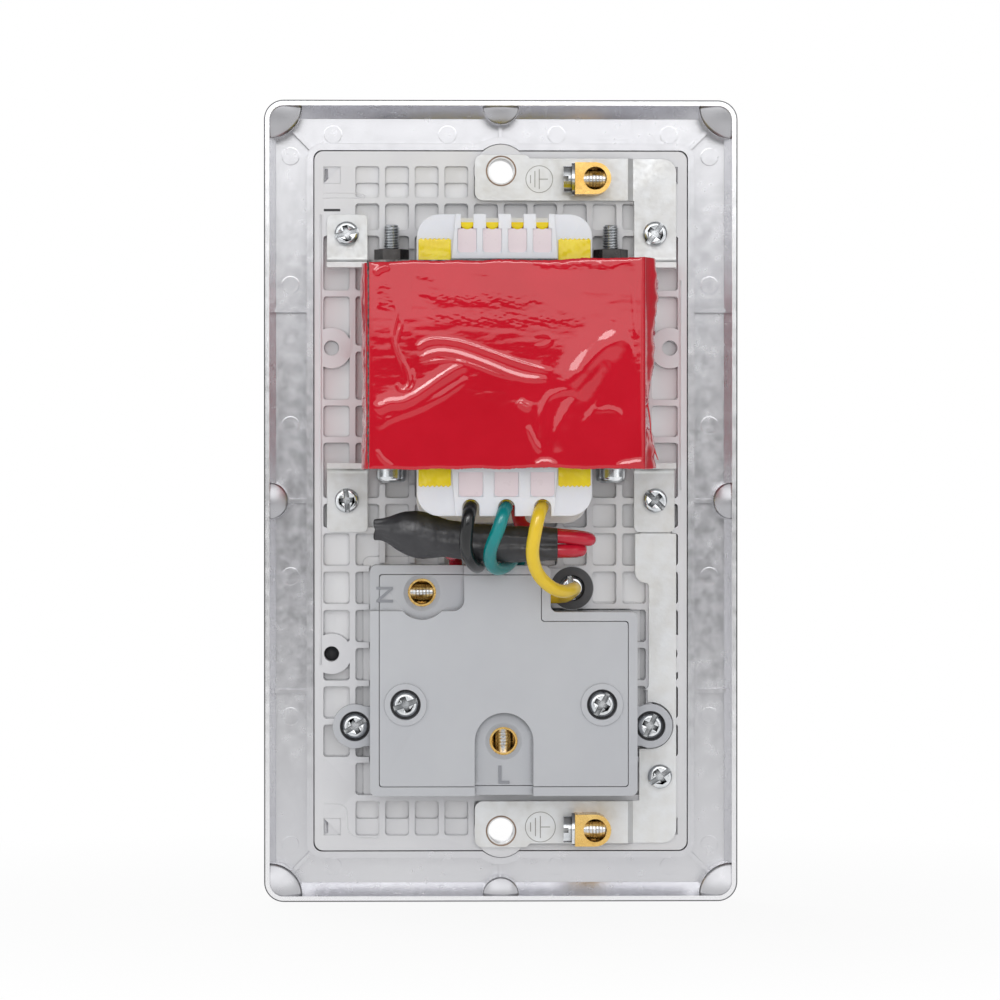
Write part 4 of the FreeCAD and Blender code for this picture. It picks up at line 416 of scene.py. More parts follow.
# Painted shade: the grooves of the bolt threads go dark within 0.3 mm.
paint(bolt_steel, made, painted_corner_shade(bolt_steel, made["colour"], 0.3, light(24, 26, 28), 0.55, 0.9))
dark_steel, made = finish("dark_steel", (92, 90, 90), (62, 60, 60), (0.25, 0.42), metal=1.0, broad=300.0,
                          bump=0.25, depth=0.03)
brass, made = finish("brass", (240, 204, 128), (224, 178, 98), (0.2, 0.34), broad=200.0, **TURNED)
copper, made = finish("copper", (176, 88, 50), (150, 70, 40), (0.25, 0.35), metal=0.8, broad=200.0)
spring_steel, made = finish("spring_steel", (170, 172, 174), (150, 152, 155), (0.2, 0.3), metal=1.0)
lamination, made = finish("lamination", (150, 148, 146), (34, 33, 34), (0.4, 0.6), metal=0.6, broad=1500.0,
                          bump=0.5, depth=0.1)
mark_grey, made = finish("mark_grey", (156, 155, 150), (142, 141, 136), (0.4, 0.5), metal=0.7)
mark_brown, made = finish("mark_brown", (150, 128, 112), (124, 104, 90), (0.4, 0.5), metal=0.6, broad=400.0)

# %% Coverings, tapes and sleeve
pvc = {}
for label, first, second in (
        ("black", (26, 27, 29), (18, 19, 21)), ("green", (0, 143, 143), (0, 126, 130)),
        ("yellow", (243, 208, 50), (234, 194, 36)), ("red", (206, 30, 58), (184, 20, 46))):
    pvc["pvc_" + label], made = finish(
        "pvc_" + label, first, second, (0.17, 0.25), broad=150.0, bump=0.05, depth=0.04)
sleeve_black, made = finish("sleeve_black", (60, 60, 63), (40, 40, 44), (0.34, 0.52), broad=200.0, fine=700.0,
                            bump=0.5, depth=0.12)
letter_grey, made = finish("letter_grey", (152, 154, 160), (144, 146, 152), (0.36, 0.5), **MOULDED)
# Painted shade: dark grey for the ring painted on the low lug under the yellow lead.
painted_shade_grey, made = finish("painted_shade_grey", (84, 85, 88), (70, 71, 74), (0.45, 0.6), bump=0.2, depth=0.05)
yellow_tape, made = finish("yellow_tape", (250, 226, 34), (240, 208, 20), (0.10, 0.16), broad=260.0,
                           fine=600.0, bump=0.1, depth=0.06)

# %% [markdown]
# ## Plating: bright outside, satin inside
#
# The plate is plated plastic. The outside of the mould is polished, so that side is a mirror, while the
# inside keeps the mould's dull skin. One material covers both: a mask from the place on the plate says
# which side it is, because the outer skin lies outside a box just inside the plate's walls.

# %% Boss material
PLATING = dict(metal=1.0, broad=30.0, fine=500.0, bump=0.08, depth=0.04)
# Painted shade: the domes are the plate's own plating in a darker colour than the plate.
chrome_domes_painted_shade, made = finish("chrome_domes_painted_shade", (186, 186, 189), (176, 176, 180), (0.26, 0.34), **PLATING)

# %% Plate material
PLATE_HALF_X, PLATE_HALF_Z = 43.3, 73.3
SATIN_ROUGHNESS = (0.2, 0.28)
chrome, made = finish("chrome_plate", (214, 214, 217), (207, 207, 211), SATIN_ROUGHNESS, **PLATING)
nodes, links = chrome.node_tree.nodes, chrome.node_tree.links


def distance_mask(place, axis, start, reach):
    """0 inside start millimetres from the middle and 1 beyond start plus reach, along one axis."""
    parts = nodes.new("ShaderNodeSeparateXYZ")
    links.new(place, parts.inputs["Vector"])
    size = combined(chrome.node_tree, "ABSOLUTE", parts.outputs[axis])
    return ranged(chrome, size, 0.0, 1.0, start * MM, (start + reach) * MM)


side = distance_mask(made["place"], "X", PLATE_HALF_X - 0.1, 0.05)
end = distance_mask(made["place"], "Z", PLATE_HALF_Z - 0.1, 0.05)
FRONT_SKIN = 7.6
face = distance_mask(made["place"], "Y", FRONT_SKIN, 0.2)
outside = combined(chrome.node_tree, "MAXIMUM", side, end)
outer_skin = combined(chrome.node_tree, "MAXIMUM", outside, face)
# Painted highlight: the back edge of the rim, above Y -0.2 mm, gets the bright colour of the polished side but
# keeps the satin roughness.
painted_lip_highlight = along_depth(chrome, made["place"], -0.28, -0.2)
polished_skin_and_painted_lip = combined(chrome.node_tree, "MAXIMUM", outer_skin, painted_lip_highlight)
skin = mixed(chrome, polished_skin_and_painted_lip, made["colour"], light(240, 240, 242))


def corner_distance(place, half_x, half_z, radius):
    """Distance from the core of a rounded rectangle, so that its outline lies at the corner radius."""
    size = place
    steps = (("ABSOLUTE", None), ("SUBTRACT", (half_x - radius, 1000.0, half_z - radius)),
             ("MAXIMUM", (0.0, 0.0, 0.0)))
    for operation, values in steps:
        node = nodes.new("ShaderNodeVectorMath")
        node.operation = operation
        links.new(size, node.inputs[0])
        if values is not None:
            node.inputs[1].default_value = [v * MM for v in values]
        size = node.outputs["Vector"]
    far = nodes.new("ShaderNodeVectorMath")
    far.operation = "LENGTH"
    links.new(size, far.inputs[0])
    return far.outputs["Value"]


PLATE_CORNER = 3.6
# Painted shade: a dark line along the rim's outer edge, in the outermost quarter millimetre of the outline above
# Y -0.4 mm.
edge_place = corner_distance(made["place"], PLATE_HALF_X, PLATE_HALF_Z, PLATE_CORNER)
rim = ranged(chrome, edge_place, 0.0, 1.0, (PLATE_CORNER - 0.26) * MM, (PLATE_CORNER - 0.16) * MM)
painted_rim_shade = combined(chrome.node_tree, "MULTIPLY", rim, along_depth(chrome, made["place"], -0.5, -0.4))
paint(chrome, made, mixed(chrome, painted_rim_shade, skin, light(96, 96, 99)))
MIRROR_ROUGHNESS = 0.05
satin = ranged(chrome, made["noise"].outputs["Fine"], *SATIN_ROUGHNESS)
both = nodes.new("ShaderNodeMix")
links.new(outer_skin, both.inputs[0])
links.new(satin, both.inputs[2])
both.inputs[3].default_value = MIRROR_ROUGHNESS
links.new(both.outputs[0], made["shader"].inputs["Roughness"])
grain = made["normal"].node
links.new(ranged(chrome, outer_skin, 0.03, 0.0), grain.inputs["Strength"])
print("Plate material has", len(nodes), "nodes")

# %% [markdown]
# ## Red tape material
#
# The tape is a thin glossy film over a coloured backing: a saturated red under a clear coat. The coat
# does the reflecting, so the material stays simple and the creases in the mesh draw the highlights.

# %% Tape material
red_tape, made = finish("red_tape", (205, 23, 43), (197, 19, 38), (0.34, 0.44), broad=120.0, fine=420.0,
                        bump=0.05, depth=0.05)
for label, value in (
        ("Specular IOR Level", 0.0), ("Coat Weight", 1.0), ("Coat Roughness", 0.04), ("Coat IOR", 1.53)):
    made["shader"].inputs[label].default_value = value
print("Materials:", len(bpy.data.materials))

# %% [markdown]
# ## Mouldings and pressings
#
# The plate, the carrier, the housing and the straps keep the CAD shape with softened edges. The edge
# radius follows the making: about 0.15 mm on a moulding, and 0.1 mm on sheared steel.

# %% Rounded nodes
rounded_copy("front_plate", 0.22, chrome, weighted=True)
rounded_copy("carrier", 0.12, carrier_white)
rounded_copy("outlet_face", 0.2, face_white)
rounded_copy("shutter", 0.12, face_white)
rounded_copy("terminal_base", 0.16, housing_grey)
rounded_copy("terminal_cover", 0.16, housing_grey)
for strap in ("earth_bracket_upper", "earth_strap_lower", "clamp_bracket_lower"):
    rounded_copy(strap, 0.14, zinc)
rounded_copy("bobbin", 0.2, nylon)
for terminal, width in (
        ("earth_terminal_upper", 0.14), ("earth_terminal_lower", 0.14),
        ("terminal_n", 0.1), ("terminal_l", 0.1)):
    rounded_copy(terminal, width, brass)
for screws in ("foot_screws", "strap_screw", "lug_screws", "cover_screws"):
    rounded_copy(screws, 0.07, screw_zinc, angle=40.0)

# %% Materials of the nodes that stay
kept = {
    "shutter_spring": spring_steel, "contact_common": brass, "contact_115": brass, "contact_230": brass,
    "switch_leaf_moving": brass, "switch_leaf_fixed": brass, "terminal_screws": screw_zinc,
    "core_e_stack": lamination, "core_i_stack": lamination, "core_nuts": dark_steel,
    "primary_winding": copper, "secondary_winding": copper, "winding_tape": yellow_tape,
    "thermal_cutout": screw_zinc, "earth_clamp_screws": screw_zinc,
}
print("Nodes with a material of their own:", len(kept))
for label, material in kept.items():
    for slot in cad_nodes[label].material_slots:
        slot.material = material

# %% [markdown]
# ## Threads
#
# A thread is a rod whose radius follows a ramp wave: the phase moves with the length and with the angle,
# so the crests wind round it. The same function makes the bolt ends above the core and the clamp
# screws that show in the terminal bores.

# %% Threaded rods
def thread(start, direction, length, radius, pitch, depth, turns_grid=28, per_pitch=8):
    """Closed rod from start along direction: radius less a V groove of that depth, wound with that pitch."""
    direction = np.array(direction, float)
    side_a = np.cross(direction, [0.0, 1.0, 0.0])
    if np.linalg.norm(side_a) < 0.1:
        side_a = np.cross(direction, [1.0, 0.0, 0.0])
    side_a /= np.linalg.norm(side_a)
    side_b = np.cross(direction, side_a)
    rows = int(length / pitch * per_pitch) + 1
    along = np.linspace(0, length, rows)[:, None]
    turn = np.linspace(0, 2 * np.pi, turns_grid, endpoint=False)[None, :]
    phase = (along / pitch - turn / (2 * np.pi)) % 1.0
    groove = 1 - np.abs(2 * phase - 1)
    chamfer = np.clip(np.minimum(along, length - along) / pitch, 0, 1)
    r = radius - depth * groove - (1 - chamfer) * depth
    points = np.array(start) + along[..., None] * direction + (r * np.cos(turn))[..., None] * side_a
    points = points + (r * np.sin(turn))[..., None] * side_b
    return surface(points, ring=True, caps=True)


BOLT_X, BOLT_Y = 20.0, 1.0
BOLT_CUT_Z = 45.0
BOLT_END_Z = 50.4
BOLT_ROOT_Z = BOLT_CUT_Z - 0.2
threads = [
    thread((s * BOLT_X, BOLT_Y, BOLT_ROOT_Z), (0, 0, 1), BOLT_END_Z - BOLT_ROOT_Z, 1.5, 0.5, 0.3)
    for s in (1, -1)]
make_piece("core_bolt_threads", joined(threads), bolt_steel)
rounded_copy("core_bolts", 0.1, screw_zinc, angle=40.0, cut_above=BOLT_CUT_Z)

clamps = [
    thread((16.6, 2.6, -16.55), (-1, 0, 0), 4.0, 1.86, 0.6, 0.26),
    thread((-0.3, 2.6, -45.5), (0, 0, 1), 4.0, 1.86, 0.6, 0.26)]
make_piece("terminal_screw_threads", joined(clamps), screw_zinc)
EARTH_PLACES = ((-14.9, 4.1, 58.6), (-14.9, 4.1, -59.8))
earth_clamps = [thread(place, (-1, 0, 0), 4.0, 1.88, 0.6, 0.28) for place in EARTH_PLACES]
make_piece("earth_screw_threads", joined(earth_clamps), screw_zinc)
print("Threads made:", len(threads) + len(clamps) + len(earth_clamps))

# %% [markdown]
# ## The taped transformer
#
# A wide red tape goes once round the core. It starts at the left edge of the back, crosses the back,
# and goes round the right side, the front and the left side. The wrap is a strip: one parameter runs
# along the section, the other up the core. On the back a height field adds folds, wrinkles and bubbles.
# A fold is a bell-shaped ridge about a curved line.

# %% Ridges about a line
def smooth_line(points, rounds=3):
    """Corners cut by quarters, several times, so that a few points give a flowing line."""
    line = np.array(points, float)
    for _ in range(rounds):
        near = 0.75 * line[:-1] + 0.25 * line[1:]
        far = 0.25 * line[:-1] + 0.75 * line[1:]
        line = np.concatenate([line[:1], np.stack([near, far], axis=1).reshape(-1, line.shape[1]), line[-1:]])
    return line


def line_distance(x, z, points):
    """Signed distance of each (x, z) to the nearest run of the line, and the share of the line before it."""
    line = smooth_line(points)
    best = np.full(x.shape, 1e9)
    signed = np.zeros(x.shape)
    share = np.zeros(x.shape)
    count = len(line) - 1
    for k in range(count):
        a, run = line[k], line[k + 1] - line[k]
        length = max(float(run @ run), 1e-12)
        t = np.clip(((x - a[0]) * run[0] + (z - a[1]) * run[1]) / length, 0, 1)
        dx, dz = x - a[0] - t * run[0], z - a[1] - t * run[1]
        distance = np.hypot(dx, dz)
        nearer = distance < best
        best = np.where(nearer, distance, best)
        signed = np.where(nearer, np.sign(run[0] * dz - run[1] * dx) * distance, signed)
        share = np.where(nearer, (k + t) / count, share)
    return signed, share


def ridge(x, z, points, width, height, ends=0.12, lean=0.0):
    """Bell-shaped ridge about a line, fading out at both ends; lean makes one flank steeper."""
    signed, share = line_distance(x, z, points)
    fade = np.clip(np.minimum(share, 1 - share) / ends, 0, 1)
    spread = width * (1 + lean * np.tanh(signed / width))
    return height * fade * fade * (3 - 2 * fade) * np.exp(-(signed / spread) ** 2)


def soft_noise(x, z, size_x, size_z, seed, waves=26):
    """Sum of seeded waves about size_x by size_z millimetres long, from about -1 to 1."""
    random = np.random.default_rng(seed)
    total = np.zeros(x.shape)
    for _ in range(waves):
        kx, kz = random.normal(0, 1 / size_x), random.normal(0, 1 / size_z)
        total += np.sin(2 * np.pi * (kx * x + kz * z) + random.uniform(0, 2 * np.pi))
    return total / np.sqrt(waves)

# %% The height field of the back
FACE_X, FACE_Z = 28.2, 52.73
FACE_STEP = 0.036868


def spot(points):
    """Places given across and down the back of the core, in steps of FACE_STEP millimetres."""
    return [(FACE_X - FACE_STEP * across, FACE_Z - FACE_STEP * down) for across, down in points]


RIDGES = (
    # line, width, height, ends, lean
    (((345, 695), (375, 665), (430, 650), (560, 668), (700, 722), (830, 770), (985, 815)), 0.5, 0.17, 0.16, 0.3),
    (((350, 748), (430, 712), (520, 720), (640, 762), (740, 805), (850, 848), (965, 850)), 0.5, 0.24, 0.16, -0.4),
    (((352, 770), (470, 748), (600, 770), (700, 815), (820, 850)), 0.24, 0.1, 0.25, 0.0),
    (((430, 735), (520, 742), (640, 786), (760, 832)), 0.16, 0.06, 0.25, 0.0),
    (((235, 470), (252, 520), (232, 600), (228, 660), (262, 740), (300, 800), (312, 870), (270, 900)),
     0.26, 0.11, 0.16, 0.0),
    (((262, 545), (272, 580), (255, 620), (240, 690), (270, 770), (285, 830)), 0.2, 0.09, 0.2, 0.0),
    (((250, 860), (262, 900), (330, 890), (322, 790)), 0.22, 0.09, 0.2, 0.0),
    (((322, 300), (320, 450), (318, 600), (322, 700)), 0.6, 0.05, 0.25, 0.0),
    (((150, 1000), (200, 955), (270, 955), (350, 915), (430, 860), (520, 800), (590, 765)), 1.0, 0.3, 0.2, 0.0),
    (((150, 1080), (200, 1030), (330, 985), (450, 930), (540, 870), (580, 835)), 1.0, 0.12, 0.25, -0.4),
    (((1010, 1200), (1005, 1110), (1050, 1000), (1130, 900), (1200, 830), (1245, 755)), 1.1, 0.16, 0.25, 0.3),
    (((1075, 930), (1110, 830), (1180, 740), (1270, 670), (1350, 640)), 2.2, 0.6, 0.35, 0.0),
    (((925, 1130), (930, 1020), (965, 930), (1030, 905), (1100, 905)), 0.6, 0.10, 0.25, 0.0),
    (((825, 950), (850, 975), (885, 990)), 0.5, 0.26, 0.4, 0.0),
    (((868, 1070), (890, 1130), (930, 1200)), 0.42, 0.16, 0.35, 0.0),
    (((1240, 760), (1260, 830), (1200, 980), (1120, 1080)), 0.7, 0.06, 0.25, 0.0),
    (((1395, 330), (1400, 700), (1402, 1150)), 0.5, 0.05, 0.2, 0.0),
    (((1442, 300), (1446, 700), (1450, 1200)), 0.3, 0.08, 0.1, 0.0),
    (((1365, 400), (1372, 520), (1385, 660)), 0.25, 0.06, 0.2, 0.0),
    (((900, 640), (960, 630), (990, 660), (950, 690), (900, 690)), 0.3, 0.05, 0.25, 0.0),
    (((1180, 1000), (1290, 990), (1320, 1040)), 0.5, 0.05, 0.3, 0.0),
    (((905, 1262), (950, 1240), (1010, 1266)), 0.5, 0.2, 0.3, 0.0),
    (((1290, 1266), (1370, 1245), (1440, 1240)), 0.5, 0.22, 0.3, 0.0),
    (((140, 330), (175, 305), (215, 296)), 0.5, 0.2, 0.3, 0.0),
    (((150, 1180), (180, 1230), (230, 1262)), 0.3, 0.1, 0.3, 0.0),
)
STREAKS = (
    # line, width, height
    (((330, 345), (380, 350), (440, 362)), 0.5, 0.05),
    (((345, 425), (430, 446), (560, 456), (760, 466), (980, 470)), 1.0, 0.065),
    (((380, 545), (560, 552), (800, 562), (1180, 566)), 0.9, 0.05),
    (((840, 288), (1000, 300), (1220, 312), (1400, 300)), 0.6, 0.08),
    (((1255, 566), (1290, 570), (1325, 576)), 0.5, 0.06),
    (((150, 395), (185, 400), (225, 396)), 0.9, 0.06),
    (((150, 470), (190, 476), (240, 470)), 1.0, 0.06),
    (((580, 338), (650, 342), (720, 350)), 0.3, 0.02),
)


def back_height(x, z):
    """Height of the tape over the flat back: all the ridges, a slow swell and fine ripples along the tape."""
    total = np.zeros(x.shape)
    for line, width, height, ends, lean in RIDGES:
        total += ridge(x, z, spot(line), width, height, ends, lean)
    rag = 0.5 + 0.4 * soft_noise(x, z, 3.5, 1.1, 17)
    for line, width, height in STREAKS:
        total += ridge(x, z, spot(line), width, height, 0.4) * np.clip(rag, 0.0, 1.2)
    crown = 0.12 - 0.0006 * (z - 26.0) ** 2
    swell = 0.016 * soft_noise(x, z, 60, 12, 4)
    ripple = 0.0035 * soft_noise(x, z, 9, 2.4, 7) + 0.0010 * soft_noise(x, z, 2.2, 0.8, 9)
    return total + crown + swell + ripple

# %% Wrap the tape round the core
TAPE_LOW, TAPE_HIGH = 5.85, 42.5
TAPE_WALL = 0.35
FRONT_Y, BACK_Y = -3.35, 37.4
LEFT_X, RIGHT_X = 24.42, -24.6
START_X = 23.95
BEND_R = 0.9
BACK_COUNT, BEND_COUNT, SIDE_COUNT, FRONT_COUNT = 300, 6, 33, 15
BACK_END = BACK_COUNT + BEND_COUNT
RIGHT_END = BACK_END + SIDE_COUNT
FRONT_END = RIGHT_END + FRONT_COUNT


def tape_section():
    """Points (x, y) and outward directions along the wrap: back, bend, right side, front, left side."""
    back_x = np.linspace(START_X, RIGHT_X + BEND_R, BACK_COUNT)
    turn = np.linspace(0, np.pi / 2, BEND_COUNT + 1)[1:]
    bend_x = RIGHT_X + BEND_R - BEND_R * np.sin(turn)
    bend_y = BACK_Y - BEND_R + BEND_R * np.cos(turn)
    right_y = np.linspace(BACK_Y - BEND_R, FRONT_Y, SIDE_COUNT + 1)[1:]
    front_x = np.linspace(RIGHT_X, LEFT_X, FRONT_COUNT + 1)[1:]
    left_y = np.linspace(FRONT_Y, BACK_Y - 1.6, SIDE_COUNT + 1)[1:]
    side, front = np.ones(SIDE_COUNT), np.ones(FRONT_COUNT)
    x = np.concatenate([back_x, bend_x, RIGHT_X * side, front_x, LEFT_X * side])
    y = np.concatenate([np.full(BACK_COUNT, BACK_Y), bend_y, right_y, FRONT_Y * front, left_y])
    out_x = np.concatenate([np.zeros(BACK_COUNT), -np.sin(turn), -side, 0 * front, side])
    out_y = np.concatenate([np.ones(BACK_COUNT), np.cos(turn), 0 * side, -front, 0 * side])
    return x, y, out_x, out_y


x, y, out_x, out_y = tape_section()
rise = np.linspace(0, 1, 210)
base_x, level = np.meshgrid(x, TAPE_LOW + rise * (TAPE_HIGH - TAPE_LOW))
base_y = np.broadcast_to(y, base_x.shape)
on_back = np.zeros(len(x))
steps = np.arange(BACK_END)
on_back[:BACK_END] = np.clip(np.minimum(steps / 5, (BACK_END - 1 - steps) / 8), 0, 1)
edge_fade = np.clip(np.minimum(rise, 1 - rise) / 0.02, 0.0, 1)[:, None]
curl = 0.22 * (1 - edge_fade) ** 2
lift = (back_height(base_x, level) * (0.35 + 0.65 * edge_fade) - curl) * on_back
on_side = np.zeros(len(x))
on_side[BACK_END:RIGHT_END] = np.sin(np.pi * np.linspace(0, 1, SIDE_COUNT) ** 0.4)
on_side[FRONT_END:] = np.sin(np.pi * (1 - np.linspace(1, 0, SIDE_COUNT) ** 0.6))
side_wave = 0.55 + 0.35 * soft_noise(base_y, level, 18, 22, 12) + 0.08 * soft_noise(base_y, level, 5, 4, 13)
side_size = np.where(out_x < 0, 2.3, 1.2)
lift = lift + np.clip(side_wave, 0.0, 1.6) * side_size * on_side
flat = 0 * level
run = base_x + base_y
wander = 0.12 * soft_noise(run, flat, 12, 9, 21) + 0.04 * soft_noise(run, flat, 1.2, 9, 22)
TOP_SLOPE = 0.0195
level = level + wander * (2 * rise[:, None] - 1) - TOP_SLOPE * base_x * rise[:, None]
points = np.stack([base_x + lift * out_x, base_y + lift * out_y, level], axis=-1)
inward = np.stack([-out_x, -out_y, 0 * out_x], axis=-1) * TAPE_WALL
points = np.concatenate([(points[0] + inward)[None], points, (points[-1] + inward)[None]])
first = points[:, :1] + inward[0]
last = points[:, -1:] + inward[-1]
points = np.concatenate([first, points, last], axis=1)
tape = make_piece("red_tape_wrap", surface(points), red_tape, closed=False)
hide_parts("core_tape")
print("Tape grid:", points.shape[:2], "highest fold", round(float(lift.max()), 2), "mm")

# %% [markdown]
# ## Lamination edge
#
# Between the tape's free end and its other end the stack's corner shows: some seventy punched sheets,
# each a little out of line with the next. One strip of points gives every sheet its own offset.

# %% Ragged edge of the stack
SHEET_PITCH = 0.5
STACK_LOW, STACK_HIGH = 6.9, 42.4
SHEET_THICK = 0.42
sheets = int((STACK_HIGH - STACK_LOW) / SHEET_PITCH)
random = np.random.default_rng(31)
offset = np.repeat(random.normal(0, 0.07, sheets), 2)
lows = np.arange(sheets) * SHEET_PITCH
heights = np.stack([lows, lows + SHEET_THICK], axis=1).ravel() + STACK_LOW + 0.05
profile = np.array([
    (22.6, 37.02), (23.4, 37.16), (23.95, 37.1), (24.2, 36.7), (24.2, 35.4), (23.4, 35.0), (22.6, 35.6)])
points = np.zeros((len(heights), len(profile), 3))
points[..., 0] = profile[None, :, 0] + offset[:, None]
points[..., 1] = profile[None, :, 1] + 0.5 * offset[:, None]
points[..., 2] = heights[:, None]
make_piece("lamination_edge", surface(points, ring=True, caps=True), lamination, sharp=30)
print("Sheets in the stack's edge:", sheets)

# %% [markdown]
# ## Torn strands
#
# At the lower right the tape is torn and a few thin strands stand off it. Each is a flat ribbon that
# tapers along a bent line.

# %% Strands
def ribbon(points, width, thick):
    """Closed tapering ribbon along a 3-D line: a flattened six-sided section that shrinks to its tip."""
    line = smooth_line(points)
    ahead = np.gradient(line, axis=0)
    ahead /= np.linalg.norm(ahead, axis=1, keepdims=True)
    wide = np.cross(ahead, [0.0, 1.0, 0.0])
    wide /= np.linalg.norm(wide, axis=1, keepdims=True)
    up = np.cross(wide, ahead)
    taper = np.linspace(1, 0.15, len(line))[:, None, None]
    turn = np.linspace(0, 2 * np.pi, 6, endpoint=False)[None, :, None]
    section = width * np.cos(turn) * wide[:, None] + thick * np.sin(turn) * up[:, None]
    return surface(line[:, None] + taper * section, ring=True, caps=True)


strands = [
    ribbon([(-25.0, 30.0, 12.5), (-25.6, 31.0, 11.0), (-26.2, 31.5, 9.6), (-27.1, 31.0, 7.4)], 0.34, 0.12),
    ribbon([(-24.9, 33.0, 18.0), (-25.5, 33.5, 15.0), (-25.7, 33.0, 12.0), (-26.0, 32.0, 10.4)], 0.2, 0.1)]
make_piece("tape_strands", joined(strands), red_tape)

# %% [markdown]
# ## Yellow strips
#
# Short lengths of yellow tape hold the windings down on the rear flange. They were cut on a toothed
# dispenser, so their free ends have small teeth. Each strip is a thin grid whose outer edge follows a
# triangle wave.

# %% Strips with toothed ends
def strip(x0, x1, z_in, z_out, y, seed, teeth=1.25, tooth=0.32, swell=0.18):
    """Grid from z_in to a toothed edge at z_out, a little swollen in its middle; closed by a thin wall."""
    columns = 64
    across = np.linspace(x0, x1, columns)
    wave = np.abs(2 * ((across * teeth) % 1.0) - 1)
    edge = z_out + np.sign(z_in - z_out) * tooth * wave
    share = np.linspace(0, 1, 18)[:, None]
    z = z_in + (edge - z_in) * share
    x_all = np.broadcast_to(across, z.shape)
    bulge = np.sin(np.pi * np.linspace(0, 1, columns)) ** 0.6
    height = swell * np.clip(bulge, 0, 1) * (1 - 0.6 * share ** 2) + 0.03 * soft_noise(x_all, z, 3, 2.5, seed)
    top = np.stack([x_all, y + np.clip(height, 0.0, 1.0) + 0.12, z], axis=-1)
    bottom = np.stack([x_all, np.full(z.shape, y), z], axis=-1)
    rows = np.concatenate([bottom[:1], top, bottom[-1:]])
    near, far = rows[:, :1].copy(), rows[:, -1:].copy()
    near[..., 1] = far[..., 1] = y
    return surface(np.concatenate([near, rows, far], axis=1))


FLANGE_Y = 28.76
STRIP_X = ((15.25, 9.5), (-9.5, -15.25))
STRIP_Z = ((42.2, 46.7), (7.2, 2.6))
strips = [strip(*STRIP_X[k % 2], *STRIP_Z[k // 2], FLANGE_Y, k + 1) for k in range(4)]
made_strips = make_piece("toothed_strips", joined(strips), yellow_tape, closed=False)
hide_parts("flange_strips")

# %% [markdown]
# ## Leads
#
# Three leads leave the bobbin's notches, droop over the sleeve and go into the housing. Two red ones
# join them to the thermal cut-out inside the sleeve and turn back outside its open end. Each lead is a
# smooth spline through the points of its route, with a round section.

# %% Lead routes and splines
LEAD_R = 1.2
ROUTES = {
    "black": [(6.0, 27.55, -1.0), (6.2, 31.0, -1.4), (6.8, 31.6, -5.0), (6.9, 28.4, -8.6), (5.7, 24.4, -10.9),
              (4.6, 19.8, -11.8), (4.2, 15.6, -11.2), (4.2, 11.6, -10.0), (4.1, 7.6, -9.4), (4.1, 4.6, -10.6),
              (4.1, 4.6, -13.0)],
    "green": [(-0.3, 27.55, -1.0), (0.1, 31.0, -1.3), (1.1, 31.8, -4.8), (2.7, 29.4, -8.5), (2.5, 25.6, -11.2),
              (1.1, 21.6, -12.2), (-0.6, 17.4, -11.7), (-2.1, 13.4, -10.1), (-3.0, 8.6, -9.5), (-3.1, 4.6, -10.5),
              (-3.1, 4.6, -13.0)],
    "yellow": [(-6.7, 27.55, -1.0), (-6.2, 31.2, -1.4), (-5.4, 31.9, -4.8), (-4.7, 30.6, -9.0),
               (-5.6, 28.2, -12.6), (-8.2, 25.8, -15.3), (-10.9, 22.6, -16.2), (-12.8, 18.2, -15.5),
               (-13.0, 13.4, -15.8), (-11.8, 9.2, -17.1), (-10.6, 6.6, -17.4), (-7.3, 6.6, -17.4)],
    "red_upper": [(10.1, 21.0, -5.8), (1.9, 21.1, -5.8), (-5.9, 21.2, -6.0), (-13.4, 21.0, -6.5),
                  (-15.9, 19.0, -6.9), (-14.4, 16.2, -6.4), (-8.2, 15.9, -5.9), (-4.1, 15.2, -5.1),
                  (-2.7, 13.0, -3.3), (-2.7, 12.4, -0.9)],
    "red_lower": [(10.1, 21.0, -8.5), (1.9, 21.0, -8.6), (-5.1, 21.1, -8.8), (-11.6, 20.9, -8.8),
                  (-14.4, 18.6, -8.6), (-12.4, 16.3, -9.0), (-5.6, 15.9, -8.9), (1.4, 15.8, -8.7),
                  (6.9, 15.4, -8.9), (9.7, 13.0, -9.3), (9.0, 8.8, -9.5), (8.3, 4.6, -10.4),
                  (8.3, 4.6, -13.0)],
}


def fill_spline(curve, points):
    """Puts one smooth spline with these control points, in millimetres, into a curve."""
    run = curve.splines.new("NURBS")
    run.points.add(len(points) - 1)
    flat = np.concatenate([np.array(points) * MM, np.ones((len(points), 1))], axis=1)
    run.points.foreach_set("co", flat.ravel())
    run.order_u = 3
    run.use_endpoint_u = True
    run.resolution_u = 10


def spline_length(points):
    """Length of the smooth spline that has these control points, from the points Blender draws for it."""
    curve = bpy.data.curves.new("measure", "CURVE")
    curve.dimensions = "3D"
    fill_spline(curve, points)
    probe = bpy.data.objects.new("measure", curve)
    line = bpy.data.meshes.new_from_object(probe)
    drawn = np.array([corner.co for corner in line.vertices])
    bpy.data.objects.remove(probe)
    return float(np.linalg.norm(np.diff(drawn, axis=0), axis=1).sum())


for label, route in ROUTES.items():
    name, colour = "lead_" + label, "pvc_" + label.split("_")[0]
    curve = bpy.data.curves.new(name + "_cover", "CURVE")
    curve.dimensions = "3D"
    fill_spline(curve, route)
    curve.bevel_depth = LEAD_R * MM
    curve.bevel_resolution = 6
    curve.use_fill_caps = True
    curve.materials.append(pvc[colour])
    cover = bpy.data.objects.new(name + "_cover", curve)
    bpy.context.scene.collection.objects.link(cover)
    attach(cover, BODY)
    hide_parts(name)
    length = spline_length(route)
    print("lead", label, round(length * 1000, 1), "mm")

# %% [markdown]
# ## Shrunk sleeve
#
# The sleeve is a loft: at each place along X it has a centre, a half height and a half depth, and the
# section goes from a flat slot at the pressed end, over the bulge of the cut-out, to a figure of eight
# round the two leads at the open end. Shallow wrinkles run along it.

